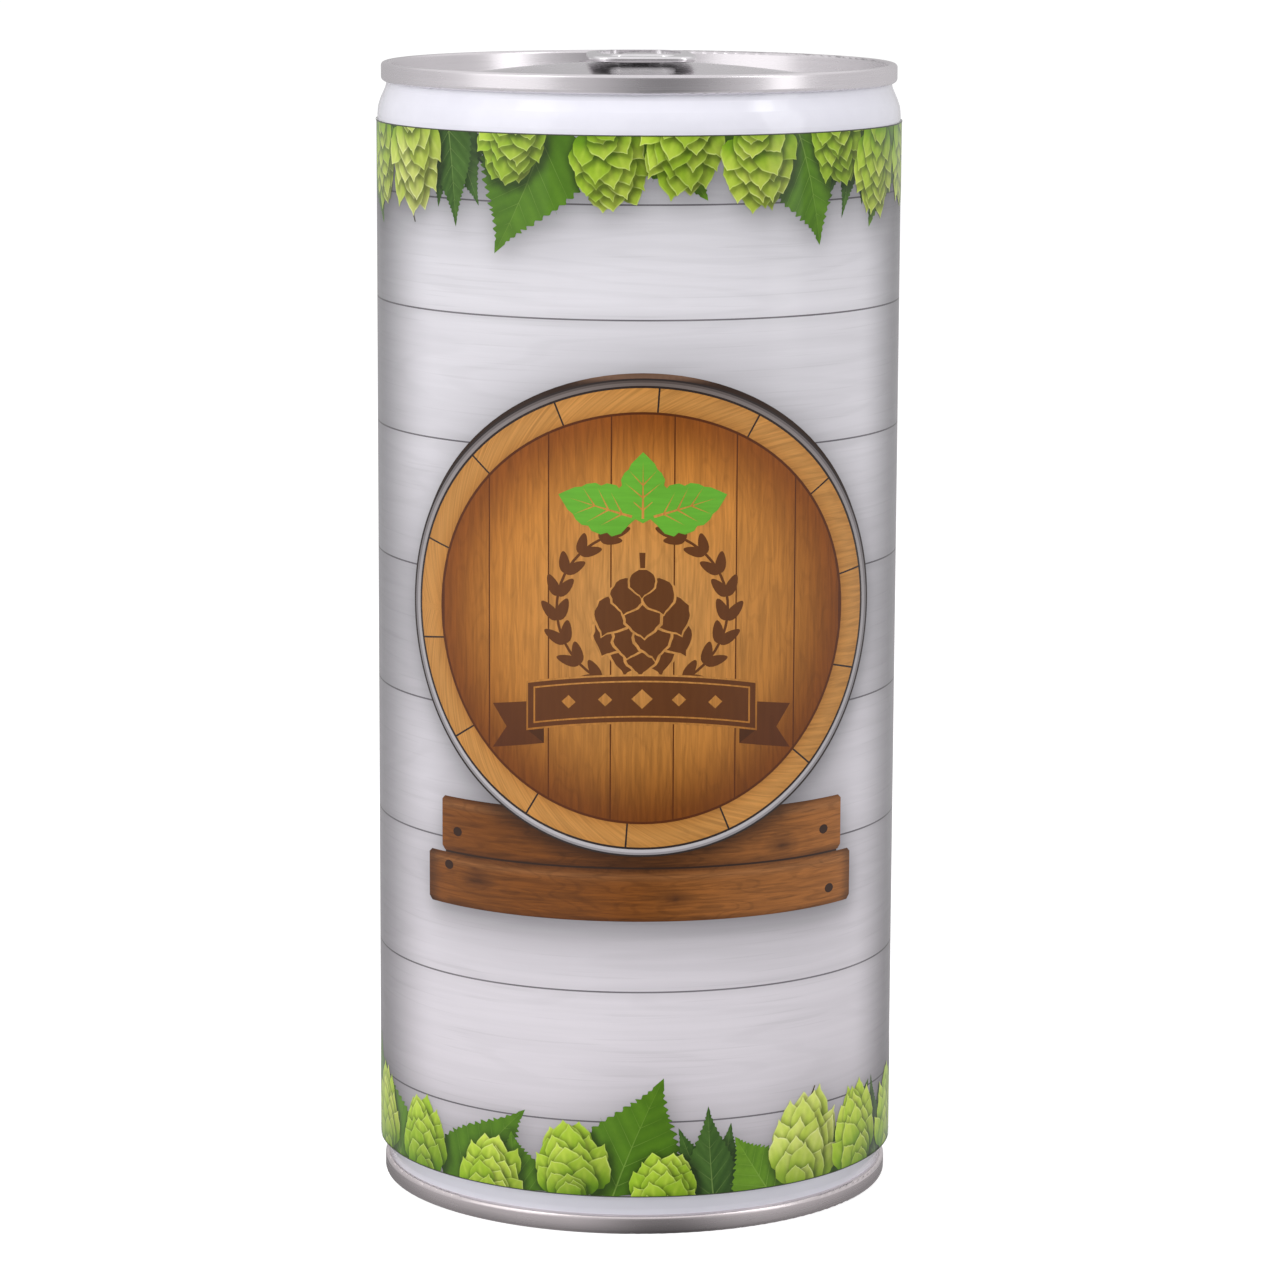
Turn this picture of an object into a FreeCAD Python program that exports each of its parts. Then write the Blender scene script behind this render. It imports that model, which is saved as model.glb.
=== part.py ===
"""A large steel drinks can, shut and full: a necked body with a printed wrap, a seamed end
at each mouth, and a stay-on pull tab riveted to the bulged top end.

Millimetres, +Z up. The origin is at the centre of the rim that the can stands on.
Each end is drawn with its seam's crown at height 0 and its panel below, then placed.
"""

import FreeCAD, Part
import math
import os
import Sketcher
from FreeCAD import Placement, Rotation, Vector

DOC = FreeCAD.newDocument("drinks_can")

SIZES = {
    # The whole can
    "can_height": (183.0, "rim to rim, without the tab"),
    "body_diameter": (84.2, "outside of the straight wall"),
    # The necks, alike at both mouths
    "neck_inset": (1.45, "from the straight wall in to the neck"),
    "neck_height": (3.9, "from the seam to the straight wall"),
    "neck_lip": (0.55, "straight part of the neck under the seam"),
    "neck_round": (2.2, "radius under the seam"),
    "shoulder_round": (6.5, "radius where the straight wall ends"),
    # The double seams, alike at both mouths
    "seam_overhang": (0.85, "how far the seam stands out from the neck"),
    "seam_height": (3.05, "crown to free edge"),
    "seam_width": (1.35, "the folded sheets, pressed together"),
    "crown_round": (0.6, "radius of the seam's crown"),
    "hem_round": (0.7, "radius of the seam's free edge"),
    # The countersinks, alike at both ends
    "end_sheet": (0.3, "thickness of the ends"),
    "sink_depth": (4.9, "countersink below the crown"),
    "sink_width": (0.8, "floor of the countersink"),
    "chuck_lean": (0.9, "how far the chuck wall leans in over the sink depth"),
    "panel_lean": (0.65, "how far the panel wall leans in"),
    "sink_round": (0.3, "radius of the countersink's bends"),
    "end_gap": (0.1, "between an end and the filled body"),
    # The top end's bulged panel
    "panel_rise": (1.0, "panel's edge above the countersink's floor"),
    "bulge": (3.8, "middle of the panel above its edge"),
    "panel_round": (0.8, "radius of the panel's edge"),
    "end_turn": (3.0, "degrees that the top end and its tab are turned"),
    # The mouth: a score line with a stiffening bead inside it
    "mouth_width": (21.0, "score line, side to side"),
    "mouth_near": (5.6, "from the rivet to the score line"),
    "mouth_far": (27.5, "from the rivet to the score line's far side"),
    "mouth_heel": (6.5, "radius of the mouth's near side"),
    "score_width": (0.4, ""),
    "score_depth": (0.14, ""),
    "bead_inset": (2.0, "from the score line to the middle of the bead"),
    "bead_width": (1.1, ""),
    "bead_height": (0.28, ""),
    # The rivet, drawn up from the top end's own sheet
    "boss_diameter": (6.6, "coined ring that the tab sits on"),
    "shank_diameter": (3.8, ""),
    "head_diameter": (5.6, ""),
    "head_height": (0.4, ""),
    "head_round": (0.2, ""),
    # The pull tab
    "tab_gap": (0.65, "tab above the middle of the panel"),
    "tab_height": (0.95, "over the curled rim"),
    "tab_width": (17.0, "at its widest"),
    "lift_reach": (15.2, "from the rivet to the lift end"),
    "lift_width": (15.6, "of the lift end"),
    "lift_taper": (5.0, "from the lift end to the full width"),
    "lift_round": (3.6, "radius of the lift end's corners"),
    "nose_reach": (9.8, "from the rivet to the nose"),
    "nose_width": (11.0, "of the nose"),
    "nose_taper": (6.5, "from the full width to the nose"),
    "nose_round": (4.6, "radius of the nose's corners"),
    "waist_round": (8.0, "radius where the tapers start"),
    "curl_round": (0.44, "radius of the curled rim"),
    "curl_width": (1.8, "of the rim round the web"),
    "web_height": (0.4, "flat web that the rivet holds"),
    "web_round": (2.4, "radius of the web's corners"),
    "finger_rim": (1.9, "from the lift end to the finger hole"),
    "finger_width": (10.4, "finger hole, side to side"),
    "finger_length": (6.6, "finger hole, along the tab"),
    "finger_round": (2.9, "radius of the finger hole's corners"),
    "bridge_width": (1.7, "between the finger hole and the web"),
    "hole_gap": (0.1, "between the rivet's shank and the web"),
    "slot_radius": (3.75, "middle of the slot round the rivet"),
    "slot_width": (0.6, ""),
    "slot_angle": (200.0, "degrees of the slot"),
    # The bottom end's flat panel
    "base_rise": (0.5, "panel's edge from the countersink's floor"),
    "base_lean": (0.35, "how far the low panel wall leans in"),
    "ring_depth": (0.45, "pressed rings"),
    "ring_width": (3.0, "of a ring, over its slopes"),
    "ring_slope": (0.7, "of one side of a ring"),
    "ring_inset": (6.6, "from the panel's edge to the middle of the outer ring"),
    "ring_pitch": (12.0, "between the middles of the rings"),
    # The printed wrap
    "label_foot": (6.4, "bare height below the wrap"),
    "label_head": (9.1, "bare height above the wrap"),
    "label_sheet": (0.13, "thickness"),
    "label_gap": (0.02, "glue between the wall and the wrap"),
}


class Size:
    """A number together with the expression over the sheet that gives it."""

    def __init__(self, text, value):
        self.text = text
        self.value = value

    def _with(self, sign, other, value):
        return Size(f"({self.text} {sign} {other.text})", value)

    def __add__(self, other):
        return self._with("+", other, self.value + other.value)

    def __sub__(self, other):
        return self._with("-", other, self.value - other.value)

    def __mul__(self, other):
        return self._with("*", other, self.value * other.value)

    def __truediv__(self, other):
        return self._with("/", other, self.value / other.value)

    def __neg__(self):
        return Size(f"(-{self.text})", -self.value)


def least(first, second):
    """The smaller of two sizes."""
    return Size(f"min({first.text}; {second.text})", min(first.value, second.value))


ZERO = Size("0", 0.0)
TWO = Size("2", 2.0)
MOST = Size("0.95", 0.95)


def make_sheet():
    """The spreadsheet of driving dimensions: name, number and note on each row."""
    sheet = DOC.addObject("Spreadsheet::Sheet", "Sizes")
    for row, (name, (value, note)) in enumerate(SIZES.items(), start=1):
        sheet.set(f"A{row}", name)
        sheet.set(f"B{row}", repr(value))
        sheet.set(f"C{row}", note)
        sheet.setAlias(f"B{row}", name)
    DOC.recompute()
    return sheet


SHEET = make_sheet()


def size(name):
    """The sheet's cell of that name."""
    return Size(f"Sizes.{name}", float(SHEET.get(name)))


# Radii and depths that more than one piece shares
BODY = size("body_diameter") / TWO
NECK = BODY - size("neck_inset")
SEAM_OUT = NECK + size("seam_overhang")
SEAM_IN = SEAM_OUT - size("seam_width")
SHEET_THICK = size("end_sheet")
SINK_OUT = SEAM_IN - size("chuck_lean")
SINK_IN = SINK_OUT - size("sink_width")
CHUCK_LOW = SEAM_IN - size("chuck_lean") * size("seam_height") / size("sink_depth")
PANEL_EDGE = SINK_IN - size("panel_lean")
EDGE_DEPTH = size("sink_depth") - size("panel_rise")
CREST_DEPTH = EDGE_DEPTH - size("bulge")
BEND = SHEET_THICK / TWO


def bind(thing, prop, length):
    """Gives a property a size and keeps it bound to the sheet."""
    thing.setExpression(prop, length.text)


def new_body(name):
    """An empty PartDesign body."""
    return DOC.addObject("PartDesign::Body", name)


def new_sketch(body, name, role, height=None):
    """A sketch of the body on one of its origin planes, or at a height above it."""
    sketch = body.newObject("Sketcher::SketchObject", name)
    plane = next(f for f in body.Origin.OriginFeatures if f.Role == role)
    sketch.AttachmentSupport = [(plane, "")]
    sketch.MapMode = "FlatFace"
    if height is not None:
        bind(sketch, "AttachmentOffset.Base.z", height)
    return sketch


def pin(sketch, name, geometry, end, across, up):
    """Holds one point of a sketch at a place given by two sizes."""
    for kind, axis, length in (("DistanceX", -2, across), ("DistanceY", -1, up)):
        if length is ZERO:
            rule = Sketcher.Constraint("PointOnObject", geometry, end, axis)
            sketch.addConstraint(rule)
            continue
        rule = Sketcher.Constraint(kind, -1, 1, geometry, end, length.value)
        made = sketch.addConstraint(rule)
        label = f"{name}_{kind[-1].lower()}"
        sketch.renameConstraint(made, label)
        bind(sketch, f"Constraints.{label}", length)


def outline(sketch, corners, arcs=()):
    """A closed outline through the corners, each a pair of sizes.

    The side after each corner whose number is in arcs is an arc centred on the
    upright axis; the others are straight.
    """
    points = [Vector(a.value, b.value, 0) for a, b in corners]
    count = len(points)
    ends = []
    for i, start in enumerate(points):
        stop = points[(i + 1) % count]
        if i not in arcs:
            sketch.addGeometry(Part.LineSegment(start, stop), False)
            ends.append((1, 2))
            continue
        squares = stop.x**2 + stop.y**2 - start.x**2 - start.y**2
        centre = Vector(0, squares / (2 * (stop.y - start.y)), 0)
        first = math.atan2(start.y - centre.y, start.x)
        last = math.atan2(stop.y - centre.y, stop.x)
        circle = Part.Circle(centre, Vector(0, 0, 1), (start - centre).Length)
        sketch.addGeometry(Part.ArcOfCircle(circle, min(first, last), max(first, last)), False)
        sketch.addConstraint(Sketcher.Constraint("PointOnObject", i, 3, -2))
        ends.append((1, 2) if first < last else (2, 1))
    for i in range(count):
        following = (i + 1) % count
        meet = Sketcher.Constraint("Coincident", i, ends[i][1], following, ends[following][0])
        sketch.addConstraint(meet)
        pin(sketch, f"p{i}", i, ends[i][0], *corners[i])


def revolve(body, sketch):
    """The sketch turned once round the upright axis."""
    turned = body.newObject("PartDesign::Revolution", f"{body.Name}_turned")
    turned.Profile = sketch
    turned.ReferenceAxis = (sketch, ["V_Axis"])
    turned.Angle = 360.0
    sketch.Visibility = False
    DOC.recompute()
    return turned


def rings(feature, spots):
    """The names of the feature's circular edges at the given radii and heights."""
    names = []
    for number, edge in enumerate(feature.Shape.Edges, start=1):
        if edge.Degenerated or not isinstance(edge.Curve, Part.Circle):
            continue
        centre = edge.Curve.Center
        for radius, height in spots:
            apart = abs(edge.Curve.Radius - radius.value) + abs(centre.z - height.value)
            if apart + math.hypot(centre.x, centre.y) < 1e-5:
                names.append(f"Edge{number}")
    return names


def uprights(feature, spots):
    """The names of the feature's upright edges that stand over the given spots."""
    names = []
    for number, edge in enumerate(feature.Shape.Edges, start=1):
        box = edge.BoundBox
        for across, along in spots:
            apart = abs(box.Center.x - across.value) + abs(box.Center.y - along.value)
            if apart + box.XLength + box.YLength < 1e-5:
                names.append(f"Edge{number}")
    return names


def rim_edges(feature, heights, keep):
    """The names of the feature's level edges at the heights that pass the test keep."""
    names = []
    for number, edge in enumerate(feature.Shape.Edges, start=1):
        box = edge.BoundBox
        if box.ZLength > 1e-5 or not keep(box):
            continue
        if min(abs(box.Center.z - height.value) for height in heights) < 1e-5:
            names.append(f"Edge{number}")
    return names


def fillet(body, name, edges, radius):
    """Rounds the named edges of the body's last feature."""
    rounded = body.newObject("PartDesign::Fillet", name)
    rounded.Base = (rounded.BaseFeature, edges)
    bind(rounded, "Radius", radius)
    DOC.recompute()
    return rounded


def pad(body, name, sketch, length):
    """A pad of the sketch, straight up."""
    made = body.newObject("PartDesign::Pad", name)
    made.Profile = sketch
    bind(made, "Length", length)
    sketch.Visibility = False
    DOC.recompute()
    return made


def pocket(body, name, sketch):
    """A cut of the sketch, straight up through everything above it."""
    made = body.newObject("PartDesign::Pocket", name)
    made.Profile = sketch
    made.Type = "ThroughAll"
    made.Reversed = True
    sketch.Visibility = False
    DOC.recompute()
    return made


def make_can_body():
    """The filled can: the whole of the wall and the drink as one solid."""
    clear = SHEET_THICK + size("end_gap")
    top = size("can_height")
    seam = size("seam_height")
    foot = seam + size("neck_height")
    lip = seam + size("neck_lip")
    deep = size("sink_depth") + clear
    corners = [
        (ZERO, deep),
        (SINK_OUT + clear, deep),
        (CHUCK_LOW + clear, seam),
        (NECK, seam),
        (NECK, lip),
        (BODY, foot),
        (BODY, top - foot),
        (NECK, top - lip),
        (NECK, top - seam),
        (CHUCK_LOW + clear, top - seam),
        (SINK_OUT + clear, top - deep),
        (SINK_IN - BEND - size("end_gap"), top - deep),
        (PANEL_EDGE - BEND - size("end_gap"), top - EDGE_DEPTH - clear),
        (ZERO, top - CREST_DEPTH - clear),
    ]
    body = new_body("can_body")
    sketch = new_sketch(body, "can_profile", "XZ_Plane")
    outline(sketch, corners, arcs=(12,))
    turned = revolve(body, sketch)
    bends = rings(turned, [corners[4], corners[7]])
    slope = (size("neck_height") - size("neck_lip")) / size("neck_inset")
    fits = MOST * TWO * size("neck_lip") * slope
    necks = fillet(body, "neck_bends", bends, least(size("neck_round"), fits))
    bends = rings(necks, [corners[5], corners[6]])
    fillet(body, "shoulder_bends", bends, size("shoulder_round"))
    return body


def end_start(panel_lean, panel_depth):
    """The outer side of an end's profile, from the seam's hem to the panel's edge."""
    return [
        (SEAM_OUT, -size("seam_height")),
        (SEAM_OUT, ZERO),
        (SEAM_IN, ZERO),
        (SINK_OUT, -size("sink_depth")),
        (SINK_IN, -size("sink_depth")),
        (SINK_IN - panel_lean, -panel_depth),
    ]


def end_finish(panel_lean, panel_depth):
    """The inner side of an end's profile, from the panel's edge to the seam."""
    return [
        (SINK_IN - panel_lean - BEND, -(panel_depth + SHEET_THICK)),
        (SINK_IN - BEND, -(size("sink_depth") + SHEET_THICK)),
        (SINK_OUT + SHEET_THICK, -(size("sink_depth") + SHEET_THICK)),
        (CHUCK_LOW + SHEET_THICK, -size("seam_height")),
    ]


def round_end(body, turned, corners):
    """Rounds an end's seam and the bends of its countersink."""
    last = len(corners) - 1
    crown = rings(turned, corners[1:3])
    half_seam = MOST * size("seam_width") / TWO
    step = fillet(body, f"{body.Name}_crown", crown, least(size("crown_round"), half_seam))
    step = fillet(body, f"{body.Name}_hem", rings(step, corners[0:1]), size("hem_round"))
    sink = rings(step, corners[3:5] + corners[last - 2:last])
    return fillet(body, f"{body.Name}_sink", sink, size("sink_round"))


def loop_sketch(body, name, inset, width):
    """A closed band round the mouth: two egg-shaped loops, one inside the other."""
    sketch = new_sketch(body, name, "XY_Plane")
    far = size("mouth_far")
    near = size("mouth_near")
    wide = size("mouth_width") / TWO
    heel = size("mouth_heel")
    half = width / TWO
    number = 0
    for side, shift in (("out", inset - half), ("in", inset + half)):
        big = wide - shift
        small = heel - shift
        big_centre = far - wide
        small_centre = near + heel
        reach = big_centre.value - small_centre.value
        lean = math.asin((big.value - small.value) / reach)
        right = Vector(math.cos(lean), -math.sin(lean), 0)
        left = Vector(-right.x, right.y, 0)
        up = Vector(0, big_centre.value, 0)
        down = Vector(0, small_centre.value, 0)
        axis = Vector(0, 0, 1)
        top = Part.ArcOfCircle(Part.Circle(up, axis, big.value), -lean, math.pi + lean)
        low = Part.ArcOfCircle(Part.Circle(down, axis, small.value), math.pi + lean, -lean)
        sketch.addGeometry(top, False)
        sketch.addGeometry(low, False)
        sketch.addGeometry(Part.LineSegment(down + right * small.value, up + right * big.value), False)
        sketch.addGeometry(Part.LineSegment(up + left * big.value, down + left * small.value), False)
        for first, second in ((0, 1), (2, 2)), ((0, 2), (3, 1)), ((1, 1), (3, 2)), ((1, 2), (2, 1)):
            join = Sketcher.Constraint(
                "Tangent", number + first[0], first[1], number + second[0], second[1]
            )
            sketch.addConstraint(join)
        for arc, radius, height in ((number, big, big_centre), (number + 1, small, small_centre)):
            sketch.addConstraint(Sketcher.Constraint("PointOnObject", arc, 3, -2))
            made = sketch.addConstraint(Sketcher.Constraint("Radius", arc, radius.value))
            sketch.renameConstraint(made, f"{side}_radius_{arc}")
            bind(sketch, f"Constraints.{side}_radius_{arc}", radius)
            made = sketch.addConstraint(
                Sketcher.Constraint("DistanceY", -1, 1, arc, 3, height.value)
            )
            sketch.renameConstraint(made, f"{side}_height_{arc}")
            bind(sketch, f"Constraints.{side}_height_{arc}", height)
        number += 4
    return sketch


def mouth_band(name, inset, width):
    """An upright band round the mouth, tall enough to pass through the panel."""
    body = new_body(name)
    sketch = loop_sketch(body, f"{name}_loops", inset, width)
    tall = pad(body, f"{name}_pad", sketch, size("sink_depth") * TWO)
    tall.Midplane = True
    return body


def dome_ball(name, rise):
    """The ball whose top is the panel's bulge, larger by the rise."""
    edge = PANEL_EDGE
    rise_to_middle = size("bulge")
    radius = (edge * edge / rise_to_middle + rise_to_middle) / TWO
    ball = DOC.addObject("Part::Sphere", name)
    bind(ball, "Radius", radius + rise)
    bind(ball, "Placement.Base.z", -(CREST_DEPTH + radius))
    return ball


def join(kind, name, base, tool):
    """A boolean of two shapes."""
    made = DOC.addObject(f"Part::{kind}", name)
    made.Base = base
    made.Tool = tool
    base.Visibility = False
    tool.Visibility = False
    return made


def make_rivet():
    """The rivet: a coined boss, the shank through the tab's web, and the head on it."""
    body = new_body("rivet")
    sketch = new_sketch(body, "rivet_profile", "XZ_Plane")
    root = -(CREST_DEPTH + BEND)
    seat = size("tab_gap") - CREST_DEPTH
    clamp = seat + size("web_height")
    boss = size("boss_diameter") / TWO
    shank = size("shank_diameter") / TWO
    head = size("head_diameter") / TWO
    corners = [
        (ZERO, root),
        (boss, root),
        (boss, seat),
        (shank, seat),
        (shank, clamp),
        (head, clamp),
        (head, clamp + size("head_height")),
        (ZERO, clamp + size("head_height")),
    ]
    outline(sketch, corners)
    turned = revolve(body, sketch)
    fillet(body, "rivet_head", rings(turned, [corners[6]]), size("head_round"))
    return body


def make_top_end():
    """The bulged top end with its seam, its scored mouth and its rivet."""
    corners = end_start(size("panel_lean"), EDGE_DEPTH)
    corners += [(ZERO, -CREST_DEPTH), (ZERO, -(CREST_DEPTH + SHEET_THICK))]
    corners += end_finish(size("panel_lean"), EDGE_DEPTH)
    body = new_body("top_sheet")
    sketch = new_sketch(body, "top_profile", "XZ_Plane")
    outline(sketch, corners, arcs=(5, 7))
    turned = revolve(body, sketch)
    step = round_end(body, turned, corners)
    fillet(body, "top_panel_edge", rings(step, [corners[5]]), size("panel_round"))

    score_band = mouth_band("score_band", ZERO, size("score_width"))
    score = join("Cut", "score", score_band, dome_ball("score_floor", -size("score_depth")))
    bead_band = mouth_band("bead_band", size("bead_inset"), size("bead_width"))
    bead = join("Common", "bead", bead_band, dome_ball("bead_top", size("bead_height")))
    trimmed = join("Cut", "bead_trimmed", bead, dome_ball("bead_floor", -BEND))
    scored = join("Cut", "scored_sheet", body, score)
    beaded = join("Fuse", "beaded_sheet", scored, trimmed)
    return join("Fuse", "top_end", beaded, make_rivet())


def make_bottom_end():
    """The flat bottom end with its seam and two pressed rings."""
    deep = size("sink_depth") - size("base_rise")
    half = size("ring_width") / TWO
    flat = half - size("ring_slope")
    raised = deep - size("ring_depth")
    steps = []
    outer = SINK_IN - size("base_lean") - size("ring_inset")
    for middle in (outer, outer - size("ring_pitch")):
        steps += [
            (middle + half, deep),
            (middle + flat, raised),
            (middle - flat, raised),
            (middle - half, deep),
        ]
    corners = end_start(size("base_lean"), deep)
    corners += [(radius, -depth) for radius, depth in steps]
    corners += [(ZERO, -deep), (ZERO, -(deep + SHEET_THICK))]
    corners += [(radius, -(depth + SHEET_THICK)) for radius, depth in reversed(steps)]
    corners += end_finish(size("base_lean"), deep)
    body = new_body("bottom_end")
    sketch = new_sketch(body, "bottom_profile", "XZ_Plane")
    outline(sketch, corners)
    turned = revolve(body, sketch)
    round_end(body, turned, corners)
    return body


def make_label():
    """The printed wrap: a thin tube round the straight wall."""
    inner = BODY + size("label_gap")
    outer = inner + size("label_sheet")
    low = size("label_foot")
    high = size("can_height") - size("label_head")
    body = new_body("label")
    sketch = new_sketch(body, "label_profile", "XZ_Plane")
    outline(sketch, [(inner, low), (outer, low), (outer, high), (inner, high)])
    revolve(body, sketch)
    return body


def tab_outline():
    """The corners of the tab, from the lift end's left corner round to its right one."""
    lift = -size("lift_reach")
    nose = size("nose_reach")
    half = size("tab_width") / TWO
    lift_half = size("lift_width") / TWO
    nose_half = size("nose_width") / TWO
    return [
        (-lift_half, lift),
        (lift_half, lift),
        (half, lift + size("lift_taper")),
        (half, nose - size("nose_taper")),
        (nose_half, nose),
        (-nose_half, nose),
        (-half, nose - size("nose_taper")),
        (-half, lift + size("lift_taper")),
    ]


def web_outline():
    """The corners of the recess over the web, inside the curled rim."""
    rim = size("curl_width")
    low = -size("lift_reach") + size("finger_rim") + size("finger_length") + size("bridge_width")
    nose = size("nose_reach")
    half = size("tab_width") / TWO - rim
    nose_half = size("nose_width") / TWO - rim
    bend = nose - size("nose_taper")
    return [
        (-half, low),
        (half, low),
        (half, bend),
        (nose_half, nose - rim),
        (-nose_half, nose - rim),
        (-half, bend),
    ]


def make_pull_tab():
    """The pull tab: a curled rim round a finger hole and round the riveted web."""
    body = new_body("pull_tab")
    tall = size("tab_height")
    shape = tab_outline()
    sketch = new_sketch(body, "tab_shape", "XY_Plane")
    outline(sketch, shape)
    step = pad(body, "tab_plate", sketch, tall)
    lift = uprights(step, shape[0:2])
    step = fillet(body, "lift_corners", lift, size("lift_round"))
    nose = uprights(step, shape[4:6])
    step = fillet(body, "nose_corners", nose, size("nose_round"))
    waist = uprights(step, [shape[2], shape[3], shape[6], shape[7]])
    step = fillet(body, "waist_corners", waist, size("waist_round"))

    low = -size("lift_reach") + size("finger_rim")
    high = low + size("finger_length")
    half = size("finger_width") / TWO
    hole = [(-half, low), (half, low), (half, high), (-half, high)]
    sketch = new_sketch(body, "finger_shape", "XY_Plane")
    outline(sketch, hole)
    step = pocket(body, "finger_hole", sketch)
    corners = uprights(step, hole)
    step = fillet(body, "finger_corners", corners, size("finger_round"))
    curls = rim_edges(step, (ZERO, tall), lambda box: True)
    fillet(body, "curls", curls, size("curl_round"))

    web = web_outline()
    sketch = new_sketch(body, "web_shape", "XY_Plane", size("web_height"))
    outline(sketch, web)
    step = pocket(body, "web_recess", sketch)
    corners = uprights(step, web[0:2] + web[3:5])
    fillet(body, "web_corners", corners, size("web_round"))

    sketch = new_sketch(body, "shank_shape", "XY_Plane")
    sketch.addGeometry(Part.Circle(Vector(0, 0, 0), Vector(0, 0, 1), 1.0), False)
    sketch.addConstraint(Sketcher.Constraint("Coincident", 0, 3, -1, 1))
    around = size("shank_diameter") / TWO + size("hole_gap")
    made = sketch.addConstraint(Sketcher.Constraint("Radius", 0, around.value))
    sketch.renameConstraint(made, "around")
    bind(sketch, "Constraints.around", around)
    pocket(body, "shank_hole", sketch)

    slot_in = size("slot_radius") - size("slot_width") / TWO
    slot_out = size("slot_radius") + size("slot_width") / TWO
    sketch = new_sketch(body, "slot_shape", "XY_Plane")
    half = math.radians(size("slot_angle").value) / 2
    first = -math.pi / 2 - half
    last = -math.pi / 2 + half
    for radius in (slot_in, slot_out):
        ring = Part.Circle(Vector(0, 0, 0), Vector(0, 0, 1), radius.value)
        sketch.addGeometry(Part.ArcOfCircle(ring, first, last), False)
    for angle in (first, last):
        ray = Vector(math.cos(angle), math.sin(angle), 0)
        sketch.addGeometry(Part.LineSegment(ray * slot_in.value, ray * slot_out.value), False)
    for arc, radius in ((0, slot_in), (1, slot_out)):
        sketch.addConstraint(Sketcher.Constraint("Coincident", arc, 3, -1, 1))
        made = sketch.addConstraint(Sketcher.Constraint("Radius", arc, radius.value))
        sketch.renameConstraint(made, f"slot_radius_{arc}")
        bind(sketch, f"Constraints.slot_radius_{arc}", radius)
        sketch.addConstraint(Sketcher.Constraint("Coincident", 2, arc + 1, arc, 1))
        sketch.addConstraint(Sketcher.Constraint("Coincident", 3, arc + 1, arc, 2))
    for side, sign in ((2, -1), (3, 1)):
        sketch.addConstraint(Sketcher.Constraint("PointOnObject", -1, 1, side))
        lean = half - math.pi / 2
        turn = lean if sign > 0 else math.pi - lean
        rule = Sketcher.Constraint("Angle", side, turn)
        made = sketch.addConstraint(rule)
        sketch.renameConstraint(made, f"slot_end_{side}")
        angle = "Sizes.slot_angle / 2 - 90" if sign > 0 else "270 - Sizes.slot_angle / 2"
        sketch.setExpression(f"Constraints.slot_end_{side}", angle)
    pocket(body, "web_slot", sketch)
    return body


def place(thing, label, height=ZERO, turn=None, flip=False):
    """Labels a sub-part and puts it at its height, turned and flipped as asked."""
    thing.Label = label
    rotation = Rotation(Vector(1, 0, 0), 180) if flip else Rotation()
    thing.Placement = Placement(Vector(0, 0, height.value), rotation)
    if height is not ZERO:
        bind(thing, "Placement.Base.z", height)
    if turn is not None:
        bind(thing, "Placement.Rotation.Angle", turn)
    return thing


def check_document():
    """Stops if an object of the document has failed."""
    for thing in DOC.Objects:
        failed = [word for word in thing.State if word in ("Invalid", "Error")]
        if failed:
            raise RuntimeError(f"{thing.Name}: {failed}")


def main():
    tab_floor = size("can_height") - CREST_DEPTH + size("tab_gap")
    turn = size("end_turn")
    parts = [
        place(make_can_body(), "can_body"),
        place(make_top_end(), "top_end", size("can_height"), turn),
        place(make_bottom_end(), "bottom_end", flip=True),
        place(make_label(), "label"),
        place(make_pull_tab(), "pull_tab", tab_floor, turn),
    ]
    DOC.recompute()
    check_document()
    os.makedirs("parts", exist_ok=True)
    for part in parts:
        shape = part.Shape
        if shape.isNull() or not shape.isValid() or len(shape.Solids) != 1:
            raise RuntimeError(f"{part.Label}: not one valid solid")
        box = shape.BoundBox
        print(
            f"{part.Label}: {shape.Volume:.1f} mm3,"
            f" x {box.XMin:.2f} {box.XMax:.2f}, y {box.YMin:.2f} {box.YMax:.2f},"
            f" z {box.ZMin:.2f} {box.ZMax:.2f}"
        )
        shape.exportStep(f"parts/{part.Label}.step")


main()
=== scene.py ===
import math
import random

import bpy
import numpy as np
from mathutils import Matrix, Vector
from mathutils.geometry import delaunay_2d_cdt

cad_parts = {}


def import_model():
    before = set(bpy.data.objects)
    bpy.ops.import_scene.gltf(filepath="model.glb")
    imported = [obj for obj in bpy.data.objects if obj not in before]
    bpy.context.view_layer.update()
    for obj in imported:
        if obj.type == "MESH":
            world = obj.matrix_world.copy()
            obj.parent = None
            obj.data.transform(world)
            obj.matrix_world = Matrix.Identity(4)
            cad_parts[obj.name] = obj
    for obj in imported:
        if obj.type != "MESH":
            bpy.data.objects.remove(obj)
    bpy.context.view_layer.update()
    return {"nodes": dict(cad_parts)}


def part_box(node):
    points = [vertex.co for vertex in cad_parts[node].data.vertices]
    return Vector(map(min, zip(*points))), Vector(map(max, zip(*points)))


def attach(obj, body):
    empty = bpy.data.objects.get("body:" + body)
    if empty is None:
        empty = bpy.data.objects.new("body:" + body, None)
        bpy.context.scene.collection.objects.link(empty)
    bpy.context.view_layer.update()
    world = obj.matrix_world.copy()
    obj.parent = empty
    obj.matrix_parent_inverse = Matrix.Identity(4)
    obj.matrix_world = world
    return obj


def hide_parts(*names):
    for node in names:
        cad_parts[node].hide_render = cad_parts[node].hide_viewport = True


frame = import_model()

random.seed(7)

# Sizes of the print, in millimetres, from the label and the can themselves
LOW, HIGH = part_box("label")
CAN_LOW, CAN_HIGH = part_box("can_body")
RADIUS = HIGH.x * 1000
FOOT = LOW.z * 1000
HEAD = HIGH.z * 1000
ROUND = 2 * math.pi * RADIUS
SEAMS = (18.6, 39.7, 61.9, 83.5, 104.8, 125.5, 145.6, 163.3)
DISC_U, DISC_Z = 0.8, 99.1
DISC_WIDE, DISC_TALL = 36.3, 37.6


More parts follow.
